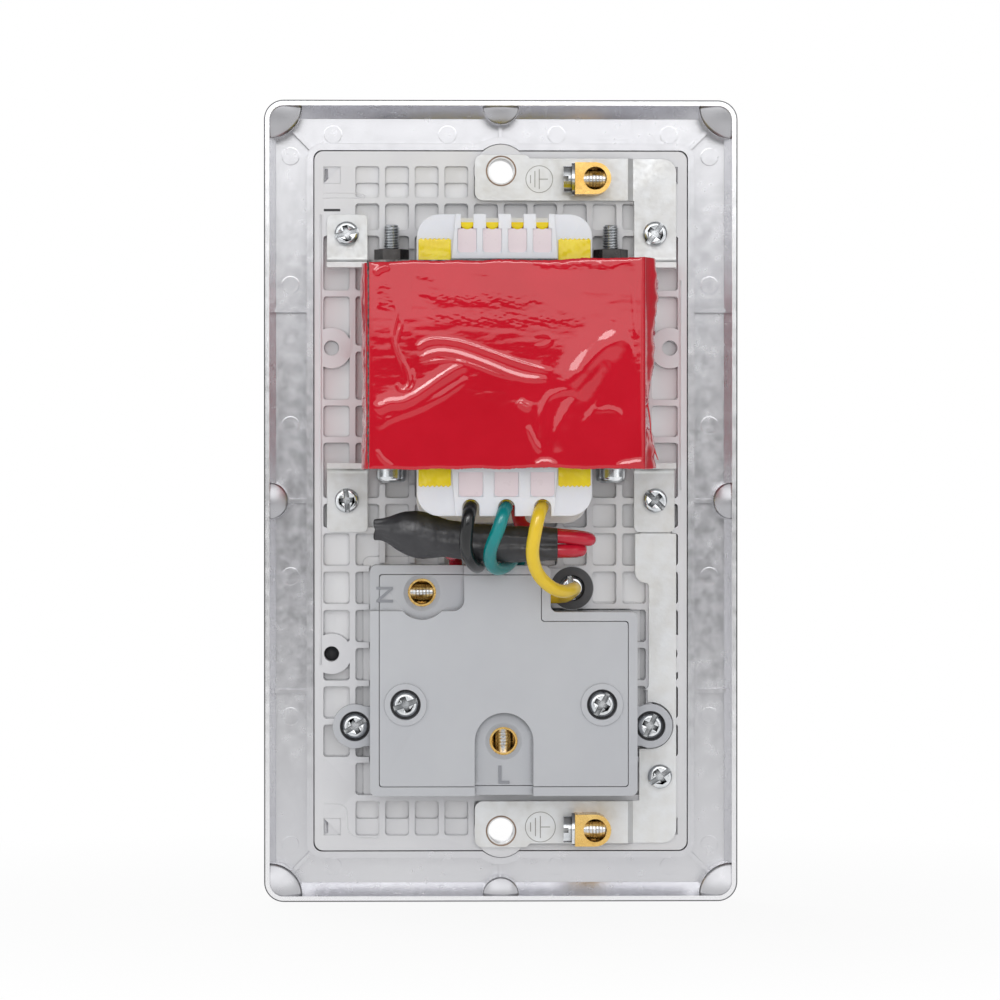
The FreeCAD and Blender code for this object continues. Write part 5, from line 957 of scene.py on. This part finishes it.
# %% Sleeve
SLEEVE_STATIONS = (
    # x, centre z, half height, half depth, waist
    (23.0, -4.98, 1.85, 0.75, 0.0), (22.1, -4.98, 1.95, 0.95, 0.0), (20.9, -5.08, 2.25, 1.4, 0.0),
    (19.1, -5.38, 3.1, 2.3, 0.0), (17.1, -5.68, 3.9, 2.85, 0.0), (15.3, -5.83, 4.2, 3.0, 0.0),
    (13.1, -6.08, 3.95, 2.9, 0.0), (10.9, -6.48, 3.5, 2.65, 0.05), (8.5, -6.78, 3.35, 2.55, 0.10),
    (4.5, -7.28, 3.35, 2.5, 0.14), (0.5, -7.48, 3.3, 2.5, 0.16), (-3.5, -7.58, 3.2, 2.45, 0.2),
    (-6.5, -7.58, 3.1, 2.4, 0.26), (-9.6, -7.63, 2.95, 2.3, 0.30))
stations = np.array(SLEEVE_STATIONS)[::-1]
along = np.linspace(stations[0, 0], stations[-1, 0], 170)


def smooth_columns(at, table):
    """Each column against the first, as a cubic through the rows with slopes from their neighbours."""
    known, values = table[:, 0], table[:, 1:]
    slopes = np.gradient(values, known, axis=0)
    k = np.clip(np.searchsorted(known, at) - 1, 0, len(known) - 2)
    step = (known[k + 1] - known[k])[:, None]
    t = (at - known[k])[:, None] / step
    square, cube = t ** 2, t ** 3
    near = (2 * cube - 3 * square + 1) * values[k] + (cube - 2 * square + t) * step * slopes[k]
    far = (3 * square - 2 * cube) * values[k + 1] + (cube - square) * step * slopes[k + 1]
    return near + far


shape = smooth_columns(along, stations)
turn = np.linspace(0, 2 * np.pi, 96, endpoint=False)
dent = 1 - shape[:, 3:4] * np.exp(-(np.sin(turn) / 0.22) ** 2)
far_along, around = np.meshgrid(along, turn, indexing="ij")
noise = 0.07 * soft_noise(far_along, 3.2 * np.sin(around), 7, 2.4, 41)
noise = noise + 0.03 * soft_noise(far_along, 3.2 * np.cos(around), 2.5, 1.4, 42)
tall = shape[:, 1:2] * np.sin(turn)
deep = shape[:, 2:3] * np.cos(turn) * dent
SLEEVE_Y = 21.0
outer_y = SLEEVE_Y + deep + noise * np.cos(turn)
outer_z = shape[:, :1] + tall + noise * np.sin(turn)
outer = np.stack([far_along, outer_y, outer_z], axis=-1)
SLEEVE_WALL = 0.45
centre = outer.mean(axis=1, keepdims=True)
reach = np.linalg.norm(outer - centre, axis=2, keepdims=True)
inner = centre + (outer - centre) * np.clip(1 - SLEEVE_WALL / np.maximum(reach, 0.6), 0.25, 1)
outer[:, :, 0] += 0.25 * np.sin(2.0 * turn) * np.clip((along - 20.5) / 2.5, 0, 1)[:, None]
shell = np.concatenate([outer, inner[::-1]])
sleeve = make_piece("sleeve_cover", surface(shell, ring=True, loop=True), sleeve_black)
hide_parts("sleeve")
print("Sleeve from x", along[0], "to", along[-1])

# %% [markdown]
# ## Letters and earth signs
#
# Two moulded letters mark the terminals, and a stamped earth sign marks each strap. The letters come
# from Blender's own font, made into a mesh first and then put in place. The signs are thin rings and bars.

# %% Text pieces
def letters(name, text, place, size, turn, height, material, facing=1, body=BODY):
    """Raised letters on a face towards +Y (facing 1) or -Y (facing -1), turned by degrees in the face."""
    curve = bpy.data.curves.new(name, "FONT")
    curve.body = text
    curve.size = size
    curve.align_x = "CENTER"
    curve.align_y = "CENTER"
    curve.extrude = height
    curve.bevel_depth = 0.03
    curve.bevel_resolution = 1
    holder = bpy.data.objects.new(name + "_text", curve)
    mesh = bpy.data.meshes.new_from_object(holder)
    bpy.data.objects.remove(holder)
    spin = Matrix.Rotation(math.radians(turn), 4, "Z")
    face = Matrix(((-facing, 0, 0, 0), (0, 0, facing, 0), (0, 1, 0, 0), (0, 0, 0, 1)))
    mesh.transform(Matrix.Translation(Vector(place) * MM) @ Matrix.Scale(MM, 4) @ face @ spin)
    mesh.materials.clear()
    mesh.materials.append(material)
    mesh.name = name
    piece = bpy.data.objects.new(name, mesh)
    bpy.context.scene.collection.objects.link(piece)
    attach(piece, body)
    return piece


letters("letter_n", "N", (21.1, 8.5, -16.9), 4.3, 90, 0.3, letter_grey)
letters("letter_l", "L", (-0.2, 8.5, -49.7), 4.7, 0, 0.3, letter_grey)
letters("voltage_115", "115 V", (11.0, -9.1, -46.9), 2.9, 0, 0.05, mark_grey, facing=-1)
letters("voltage_230", "230 V", (-11.0, -9.1, -46.9), 2.9, 0, 0.05, mark_grey, facing=-1)

# %% Stamped earth signs
def ring_line(x, y, z, radius, half):
    """Flat ring about a +Y axis: radius plus or minus half, standing 0.03 mm proud."""
    turn = np.linspace(0, 2 * np.pi, 64, endpoint=False)
    radii = np.array([radius - half, radius - half, radius + half, radius + half])
    rise = np.array([-0.1, 0.03, 0.03, -0.1])
    points = np.stack([x + radii[None] * np.cos(turn)[:, None], y + rise[None] + 0 * turn[:, None],
                       z + radii[None] * np.sin(turn)[:, None]], axis=-1)
    return surface(points, ring=True, loop=True)


def bar_line(x0, x1, y, z0, z1):
    """Flat bar between two corners, standing 0.03 mm proud."""
    section = np.array([(z0, -0.1), (z0, 0.03), (z1, 0.03), (z1, -0.1)])
    points = np.zeros((2, 4, 3))
    points[0, :, 0], points[1, :, 0] = x0, x1
    points[..., 1] = y + section[:, 1]
    points[..., 2] = section[:, 0]
    return surface(points, ring=True, caps=True)


STRAP_Y = 0.8
HOLE_Z = 60.3
LINE = 0.08
signs = []
for x, z, size in ((-6.98, 58.8, 1.0), (-7.18, -59.6, 1.12)):
    signs.append(ring_line(x, STRAP_Y, z, 2.45 * size, 0.07))
    for shift, half in ((1.6, 0.75), (0.8, 1.5), (0.0, 1.8)):
        low, high = x + size * (shift - LINE), x + size * (shift + LINE)
        signs.append(bar_line(low, high, STRAP_Y, z - size * half, z + size * half))
    signs.append(bar_line(x - size * 1.6, x, STRAP_Y, z - LINE, z + LINE))
make_piece("earth_signs", joined(signs), mark_grey, sharp=30)
stains = [ring_line(0.0, STRAP_Y, s * HOLE_Z, 2.66, 0.14) for s in (1, -1)]
make_piece("hole_stains", joined(stains), mark_brown, sharp=30)

# %% [markdown]
# ## Ejector marks inside the plate
#
# The pins that push the plate out of its mould leave round marks, a shallow ring with a flat middle.
# One profile is turned about each place.

# %% Ejector marks
MARK_X = (30.8, 9.7, -10.4, -31.1)
MARK_Z = (63.4, 39.7, 13.9, -13.9, -39.7, -63.4)
FLOOR_Y = -6.9
places = [(x, s * 67.4) for x in MARK_X for s in (1, -1)] + [(s * 38.6, z) for z in MARK_Z for s in (1, -1)]
turn = np.linspace(0, 2 * np.pi, 40, endpoint=False)[None, :]
radii = np.array([1.68, 1.66, 1.58, 1.54, 0.02])[:, None]
rise = np.array([-0.05, 0.02, 0.03, 0.008, 0.008])[:, None]
marks = []
for x, z in places:
    ring = np.stack([x + radii * np.cos(turn), FLOOR_Y + rise + 0 * turn, z + radii * np.sin(turn)], axis=-1)
    marks.append(surface(ring, ring=True, caps=True))
make_piece("ejector_marks", joined(marks), chrome, sharp=20)
print("Ejector marks:", len(places))

# %% [markdown]
# ## Domed bosses of the plate
#
# The stiffening bosses in the corners and at mid-side have rounded tops. Each is part of a shallow dome:
# the height falls with the square of the distance from the centre.

# %% Dome caps
def dome(x, z, radius, rise, level, start, end):
    """Sector of a dome about (x, z), between two angles in degrees: height = rise (1 - (r / radius)^2)."""
    turn = np.radians(np.linspace(start, end, 25))[None, :]
    r = np.linspace(0.001, 1, 12)[:, None] * radius
    height = rise * (1 - (r / radius) ** 2)
    top = np.stack([x + r * np.cos(turn), level + height + 0 * turn, z + r * np.sin(turn)], axis=-1)
    low = np.stack([x + r * np.cos(turn), level - 0.2 + 0 * r * turn, z + r * np.sin(turn)], axis=-1)
    rows = np.concatenate([top, low[::-1]])
    rows = np.concatenate([rows, rows[:1]])
    return surface(rows)


CAVITY_X, CAVITY_Z = 42.3, 72.3
BOSS_TOP_Y = -1.5
domes = []
for sx, sz, start in ((1, 1, 180), (-1, 1, 270), (-1, -1, 0), (1, -1, 90)):
    domes.append(dome(sx * CAVITY_X, sz * CAVITY_Z, 5.95, 1.15, BOSS_TOP_Y, start, start + 90))
for sx, sz, start in ((1, 0, 90), (-1, 0, 270), (0, 1, 180), (0, -1, 0)):
    domes.append(dome(sx * CAVITY_X, sz * CAVITY_Z, 3.35, 0.7, BOSS_TOP_Y, start, start + 180))
make_piece("boss_domes", joined(domes), chrome_domes_painted_shade)

# %% [markdown]
# ## Lines and windows of the carrier
#
# Fine moulded lines mark the steps of the carrier's corner pads. A bead is a low rounded rib along a
# bent line. Half of each clip window is closed by a thin corner web, and a floor lies behind it.

# %% Beads
def bead(points, width, height, level):
    """Low rib along a line (x, z): a half-round section of a width and height, standing on a level of Y."""
    line = smooth_line(points, 2)
    ahead = np.gradient(line, axis=0)
    ahead /= np.linalg.norm(ahead, axis=1, keepdims=True)
    side = np.stack([-ahead[:, 1], ahead[:, 0]], axis=1)
    turn = np.linspace(0, np.pi, 7)
    across = 0.5 * width * np.cos(turn)
    up = height * np.sin(turn)
    across, up = np.append(across, 0.0), np.append(up, -0.1)
    points = np.zeros((len(line), len(turn) + 1, 3))
    points[..., 0] = line[:, :1] + across * side[:, :1]
    points[..., 1] = level + up
    points[..., 2] = line[:, 1:] + across * side[:, 1:]
    return surface(points, ring=True, caps=True)


CARRIER_TOP = -1.5
beads = [
    bead([(32.3, -55.4), (29.6, -55.5), (28.6, -55.8), (28.1, -57.0), (28.1, -61.6), (22.6, -61.7),
          (22.3, -61.7), (22.3, -55.2)], 0.22, 0.12, CARRIER_TOP),
    bead([(32.6, 55.4), (31.0, 55.5), (26.4, 55.5), (24.9, 55.2), (24.9, 56.3), (31.6, 56.4), (32.6, 56.2)],
         0.2, 0.12, CARRIER_TOP),
    bead([(33.0, 52.4), (33.0, -30.0)], 0.35, 0.25, CARRIER_TOP),
    bead([(-33.0, 40.4), (-33.0, 2.0)], 0.35, 0.25, CARRIER_TOP)]
make_piece("carrier_beads", joined(beads), carrier_white)

# %% Clip windows, slot and boss hole
WINDOW_X, WINDOW_Z = 30.9, 59.65
WEB_HALF, FLOOR_HALF = 1.5, 1.7
WINDOW_FLOOR_Y = -2.35
webs, floors = [], []
for sx in (1, -1):
    for sz in (1, -1):
        x, z = sx * WINDOW_X, sz * WINDOW_Z
        points = np.zeros((2, 3, 3))
        points[..., 0] = x + sx * WEB_HALF * np.array([1, -1, -1])
        points[..., 1] = np.array([-2.2, -1.75])[:, None]
        points[..., 2] = z + sz * WEB_HALF * np.array([-1, -1, 1])
        webs.append(surface(points, ring=True, caps=True))
        floors.append(bar_line(x - FLOOR_HALF, x + FLOOR_HALF, WINDOW_FLOOR_Y, z - FLOOR_HALF, z + FLOOR_HALF))
make_piece("window_webs", joined(webs), carrier_white, sharp=30)
# Painted shade: a black bar in the slot of the carrier's pad.
make_piece("pad_slot_shade", bar_line(29.4, 32.4, CARRIER_TOP, 53.0, 53.45), sleeve_black, sharp=30)
make_piece("window_floors", joined(floors), carrier_white, sharp=30)
# Painted shade: a black disc at the bottom of the spare boss's hole.
turn = np.linspace(0, 2 * np.pi, 32, endpoint=False)[None, :]
radii = np.array([1.35, 1.35, 0.02])[:, None]
rise = np.array([-5.6, -5.2, -5.2])[:, None]
SPARE_X, SPARE_Z = 31.0, -28.0
points = np.stack([SPARE_X + radii * np.cos(turn), rise + 0 * turn, SPARE_Z + radii * np.sin(turn)], axis=-1)
make_piece("boss_hole_shade", surface(points, ring=True, caps=True), sleeve_black)
print("Clip windows:", len(webs))

# %% [markdown]
# ## Painted shade on a lug and in the screw wells
#
# A dark ring is painted on the lug under the yellow lead, where it lies low and in shade. Each screw head stands
# in a counterbore, and the gap round the head is so narrow and deep that it reads as a black ring, which is
# painted there as shade.

# %% Rings round the screws
COVER_SCREWS = ((17.5, -36.7), (-18.0, -36.7))
LUGS = ((26.7, -41.1), (-27.3, -41.1), (-12.9, -15.9))
COVER_SEAT_Y, LUG_SEAT_Y, LUG_TOP_Y = 10.4, -0.1, 1.9
WELL_R, WELL_HALF = 2.5, 0.23
lead_lug_x, lead_lug_z = LUGS[2]
# Painted shade: a dark ring on the lug under the yellow lead, which lies low and in shade.
make_piece("lug_shade_ring", ring_line(lead_lug_x, LUG_TOP_Y, lead_lug_z, 3.15, 0.75), painted_shade_grey, sharp=30)
# Painted shade: black rings in the narrow gaps round the screw heads in their counterbores.
wells = [ring_line(x, COVER_SEAT_Y, z, WELL_R, WELL_HALF) for x, z in COVER_SCREWS]
wells += [ring_line(x, LUG_SEAT_Y, z, WELL_R, WELL_HALF) for x, z in LUGS]
make_piece("well_shade_rings", joined(wells), sleeve_black, sharp=30)
print("Screw wells:", len(wells))

# %% [markdown]
# ## Spring of the shutter
#
# The shutter slides up when a plug goes in, and its seat presses the spring against the carrier's post. A spring
# that stayed stiff would cut through the shutter when it slides; this coil is wound along the box of the CAD
# spring, from its lower end to its upper end.

# %% Coil
def coil(x, y, low, high, turns, radius, wire):
    """Tube along a helix: the outward and upward circle of the wire turns round the axis while it climbs."""
    climb = np.linspace(0, 1, turns * 28 + 1)[:, None]
    around = 2 * np.pi * turns * climb
    u = np.linspace(0, 2 * np.pi, 10, endpoint=False)[None, :]
    reach = radius + wire * np.cos(u)
    up = low + wire + (high - low - 2 * wire) * climb + wire * np.sin(u)
    points = np.stack([x + reach * np.cos(around), y + reach * np.sin(around), up], axis=-1)
    return surface(points, ring=True, caps=True)


SPRING_TURNS, SPRING_R, WIRE_R = 8, 1.05, 0.18
low, high = [np.array(corner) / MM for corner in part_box("shutter_spring")]
mid_x, mid_y, _ = 0.5 * (low + high)
turns = coil(mid_x, mid_y, low[2], high[2], SPRING_TURNS, SPRING_R, WIRE_R)
spring = make_piece("shutter_coil", turns, spring_steel)
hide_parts("shutter_spring")
length = high[2] - low[2]
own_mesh(spring)

# %% [markdown]
# ## Windows and wrap ends of the bobbin
#
# The hood's windows are thin, so the red below tints them. The ends of the yellow wrap bulge into the
# gaps between the tabs.

# %% Thin panels and wrap ends
def panel(x, half, low, high, y0, y1, round_low):
    """Thin plate with its lower corners rounded, from the outline in X and Z."""
    turn = np.linspace(np.pi, 1.5 * np.pi, 7)
    left = np.stack([x - half + round_low + round_low * np.cos(turn),
                     low + round_low + round_low * np.sin(turn)], axis=1)
    right = np.stack([2 * x - left[::-1, 0], left[::-1, 1]], axis=1)
    outline = np.concatenate([left, right, [(x + half, high), (x - half, high)]])
    points = np.zeros((2, len(outline), 3))
    points[..., 0], points[..., 2] = outline[:, 0], outline[:, 1]
    points[0, :, 1], points[1, :, 1] = y0, y1
    return surface(points, ring=True, caps=True)


TAB_X = (6.65, 2.2, -2.25, -6.65)
NOTCH_X = (6.0, -0.3, -6.7)
HOOD_Y, HOOD_TOP_Y = 29.55, 29.72
panels = [panel(x, 1.62, 44.0, 48.35, HOOD_Y, HOOD_TOP_Y, 0.9) for x in TAB_X]
panels += [panel(x, 2.1, 0.95, 5.25, HOOD_Y, HOOD_TOP_Y, 0.7) for x in NOTCH_X]
make_piece("bobbin_windows", joined(panels), nylon_pink, sharp=30)
ends = [dome(x, 49.45, 1.25, 0.35, HOOD_TOP_Y + 0.02, 180, 360) for x in TAB_X]
make_piece("wrap_ends", joined(ends), yellow_tape)

# %% [markdown]
# ## Studio
#
# The camera looks straight at the back from 0.9 m. A wide soft lamp stands just above it, and others stand
# at the sides, behind the camera and before the front of the plate. Four lamps shine on chosen pieces only:
# two draw the highlights of the tape, sleeve and leads, and two light the satin plate in place of the wide
# lamp. The world is white to the eye and in metal, with a dark band about the camera, as in a real studio,
# for the tape and the steel to reflect.

# %% Camera
CAMERA_PLACE = (0.020, 0.9, 0.005)
CAMERA_TARGET = (0.00018, 0.0, 0.00018)
camera_data = bpy.data.cameras.new("camera")
camera_data.lens = 177.2
camera_data.sensor_width = 36.0
camera_data.clip_start = 0.05
camera = bpy.data.objects.new("camera", camera_data)
camera.location = CAMERA_PLACE
aim = Vector(CAMERA_TARGET) - Vector(CAMERA_PLACE)
camera.rotation_euler = aim.to_track_quat("-Z", "Y").to_euler()
bpy.context.scene.collection.objects.link(camera)
bpy.context.scene.camera = camera

# %% Lamps
def soft_lamp(name, place, target, wide, tall, power):
    """Rectangular lamp at place, turned to target, that the camera doesn't see."""
    data = bpy.data.lights.new(name, "AREA")
    data.shape = "RECTANGLE"
    data.size, data.size_y = wide, tall
    data.energy = power
    lamp = bpy.data.objects.new(name, data)
    lamp.location = place
    lamp.rotation_euler = (Vector(target) - Vector(place)).to_track_quat("-Z", "Y").to_euler()
    lamp.visible_camera = False
    bpy.context.scene.collection.objects.link(lamp)
    return lamp


high_lamp = soft_lamp("lamp_above", (0.0, 0.95, 0.352), (0, 0.0, 0.352), 1.1, 0.6, 2.15)
soft_lamp("lamp_left", (0.85, 0.55, 0.25), (0, 0, 0), 0.5, 0.8, 1.0)
soft_lamp("lamp_right", (-0.85, 0.55, 0.1), (0, 0, 0), 0.4, 0.8, 0.8)
soft_lamp("lamp_front", (0.3, -0.9, 0.5), (0, 0, 0), 0.8, 0.8, 4.5)
fill = soft_lamp("lamp_fill", (0.0, 1.2, 0.0), (0, 0, 0), 0.5, 0.5, 4.2)
fill.visible_glossy = False


def only_for(lamp, names):
    """Keeps a lamp's light to the pieces named, as a card with a hole does; returns their collection."""
    chosen = bpy.data.collections.new(lamp.name + "_pieces")
    for name in names:
        chosen.objects.link(bpy.data.objects[name])
    lamp.light_linking.receiver_collection = chosen
    return chosen


LEAD_COVERS = ["lead_" + label + "_cover" for label in ROUTES]
GLOSSY = ["red_tape_wrap", "tape_strands", "toothed_strips", "sleeve_cover"] + LEAD_COVERS
PLATED = ["front_plate_rounded", "ejector_marks"]
for strip_lamp in (
        soft_lamp("lamp_strip_high", (0.05, 0.9, 0.5), (0, 0, 0.02), 0.7, 0.2, 3.2),
        soft_lamp("lamp_strip_left", (0.36, 0.9, 0.34), (0, 0, 0.02), 0.22, 0.3, 1.2)):
    strip_lamp.visible_diffuse = False
    only_for(strip_lamp, GLOSSY)
only_for(soft_lamp("lamp_middle", (0.0, 1.2, -0.065), (0, 0, -0.065), 1.1, 0.07, 0.4), PLATED)
only_for(soft_lamp("lamp_plate", (0.0, 0.95, 0.42), (0, 0, 0.42), 1.1, 0.5, 3.7), PLATED)
for linked in only_for(high_lamp, PLATED).collection_objects:
    linked.light_linking.link_state = "EXCLUDE"

# %% World
world = bpy.data.worlds.new("studio")
bpy.context.scene.world = world
world.use_nodes = True
tree = world.node_tree
nodes, links = tree.nodes, tree.links
back = nodes["Background"]
path = nodes.new("ShaderNodeLightPath")
way = nodes.new("ShaderNodeTexCoord")
parts = nodes.new("ShaderNodeSeparateXYZ")
links.new(way.outputs["Generated"], parts.inputs["Vector"])


def world_range(socket, from_low, from_high, low, high):
    """Soft step of a world value from low to high between two values of the socket."""
    node = nodes.new("ShaderNodeMapRange")
    node.interpolation_type = "SMOOTHSTEP"
    for label, value in (("From Min", from_low), ("From Max", from_high), ("To Min", low), ("To Max", high)):
        node.inputs[label].default_value = value
    links.new(socket, node.inputs["Value"])
    return node.outputs["Result"]


front = world_range(parts.outputs["Y"], 0.25, 0.85, 0.22, 0.88)
rear = world_range(parts.outputs["Y"], -0.9, -0.6, 1.0, 0.0)
bright = combined(tree, "MAXIMUM", front, rear)
BAND_LEVEL = 0.08
above = world_range(parts.outputs["Z"], 0.022, 0.05, BAND_LEVEL, 1.0)
below = world_range(parts.outputs["Z"], -0.16, -0.08, 0.62, BAND_LEVEL)
band = combined(tree, "MAXIMUM", above, below)
apart = world_range(parts.outputs["Y"], 0.88, 0.965, 1.0, 0.0)
dark_band = combined(tree, "MAXIMUM", band, apart)
mirrored = combined(tree, "MULTIPLY", bright, dark_band)
shiny = combined(tree, "MAXIMUM", path.outputs["Is Glossy Ray"], path.outputs["Is Transmission Ray"])
WORLD_LIGHT = 0.37
level = nodes.new("ShaderNodeMix")
links.new(shiny, level.inputs[0])
level.inputs[2].default_value = WORLD_LIGHT
links.new(mirrored, level.inputs[3])
seen = nodes.new("ShaderNodeMix")
links.new(path.outputs["Is Camera Ray"], seen.inputs[0])
links.new(level.outputs[0], seen.inputs[2])
seen.inputs[3].default_value = 1.0
links.new(seen.outputs[0], back.inputs["Strength"])
back.inputs["Color"].default_value = (1, 1, 1, 1)
print("World nodes:", len(nodes))

# %% [markdown]
# ## Floor
#
# The unit stands on pale paper. Near the unit the paper shows its own shaded colour, and further off it
# fades into plain white, so that the floor meets the background without a line. Metal mirrors it the same.

# %% Floor
FLOOR_Z = -73.4
FADE_START, FADE_END = 0.07, 0.20
turn = np.linspace(0, 2 * np.pi, 96, endpoint=False)[None, :]
radii = np.array([0.5, 60, 140, 260, 420, 600])[:, None]
points = np.stack([radii * np.cos(turn), radii * np.sin(turn), FLOOR_Z + 0 * radii * turn], axis=-1)
mesh = bpy.data.meshes.new("floor")
corners, faces = surface(points, ring=True)
mesh.from_pydata((corners * MM).tolist(), [], faces)
floor = bpy.data.objects.new("floor", mesh)
bpy.context.scene.collection.objects.link(floor)
floor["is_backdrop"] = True
paper = bpy.data.materials.new("floor_paper")
paper.use_nodes = True
tree = paper.node_tree
nodes, links = tree.nodes, tree.links
shader = nodes["Principled BSDF"]
shader.inputs["Base Color"].default_value = light(244, 244, 244)
shader.inputs["Roughness"].default_value = 0.9
path = nodes.new("ShaderNodeLightPath")
glow = nodes.new("ShaderNodeEmission")
blend = nodes.new("ShaderNodeMixShader")
place = nodes.new("ShaderNodeTexCoord")
length = nodes.new("ShaderNodeVectorMath")
length.operation = "LENGTH"
links.new(place.outputs["Object"], length.inputs[0])
fade = nodes.new("ShaderNodeMapRange")
fade.inputs["From Min"].default_value = FADE_START
fade.inputs["From Max"].default_value = FADE_END
fade.inputs["To Min"].default_value = 0.9
fade.inputs["To Max"].default_value = 1.0
links.new(length.outputs["Value"], fade.inputs["Value"])
shiny = combined(tree, "MAXIMUM", path.outputs["Is Glossy Ray"], path.outputs["Is Transmission Ray"])
seen = combined(tree, "MAXIMUM", path.outputs["Is Camera Ray"], shiny)
share = combined(tree, "MULTIPLY", seen, fade.outputs["Result"])
links.new(share, blend.inputs[0])
links.new(shader.outputs["BSDF"], blend.inputs[1])
links.new(glow.outputs["Emission"], blend.inputs[2])
links.new(blend.outputs["Shader"], nodes["Material Output"].inputs["Surface"])
floor.data.materials.append(paper)
print("Floor at", FLOOR_Z, "mm")

# %% [markdown]
# ## Last settings
#
# The Standard view shows each colour about as it is written. The box of the dressed object is kept beside
# the CAD's, to show that the dress adds nearly nothing to its size.

# %% Colours as written
bpy.context.scene.view_settings.view_transform = "Standard"

# %% Sizes
shown_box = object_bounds()
sizes = {
    "cad_low": list(cad_box[0]), "cad_high": list(cad_box[1]),
    "shown_low": list(shown_box[0]), "shown_high": list(shown_box[1])}
for label, corner in sizes.items():
    print(label, [round(c * 1000, 2) for c in corner])
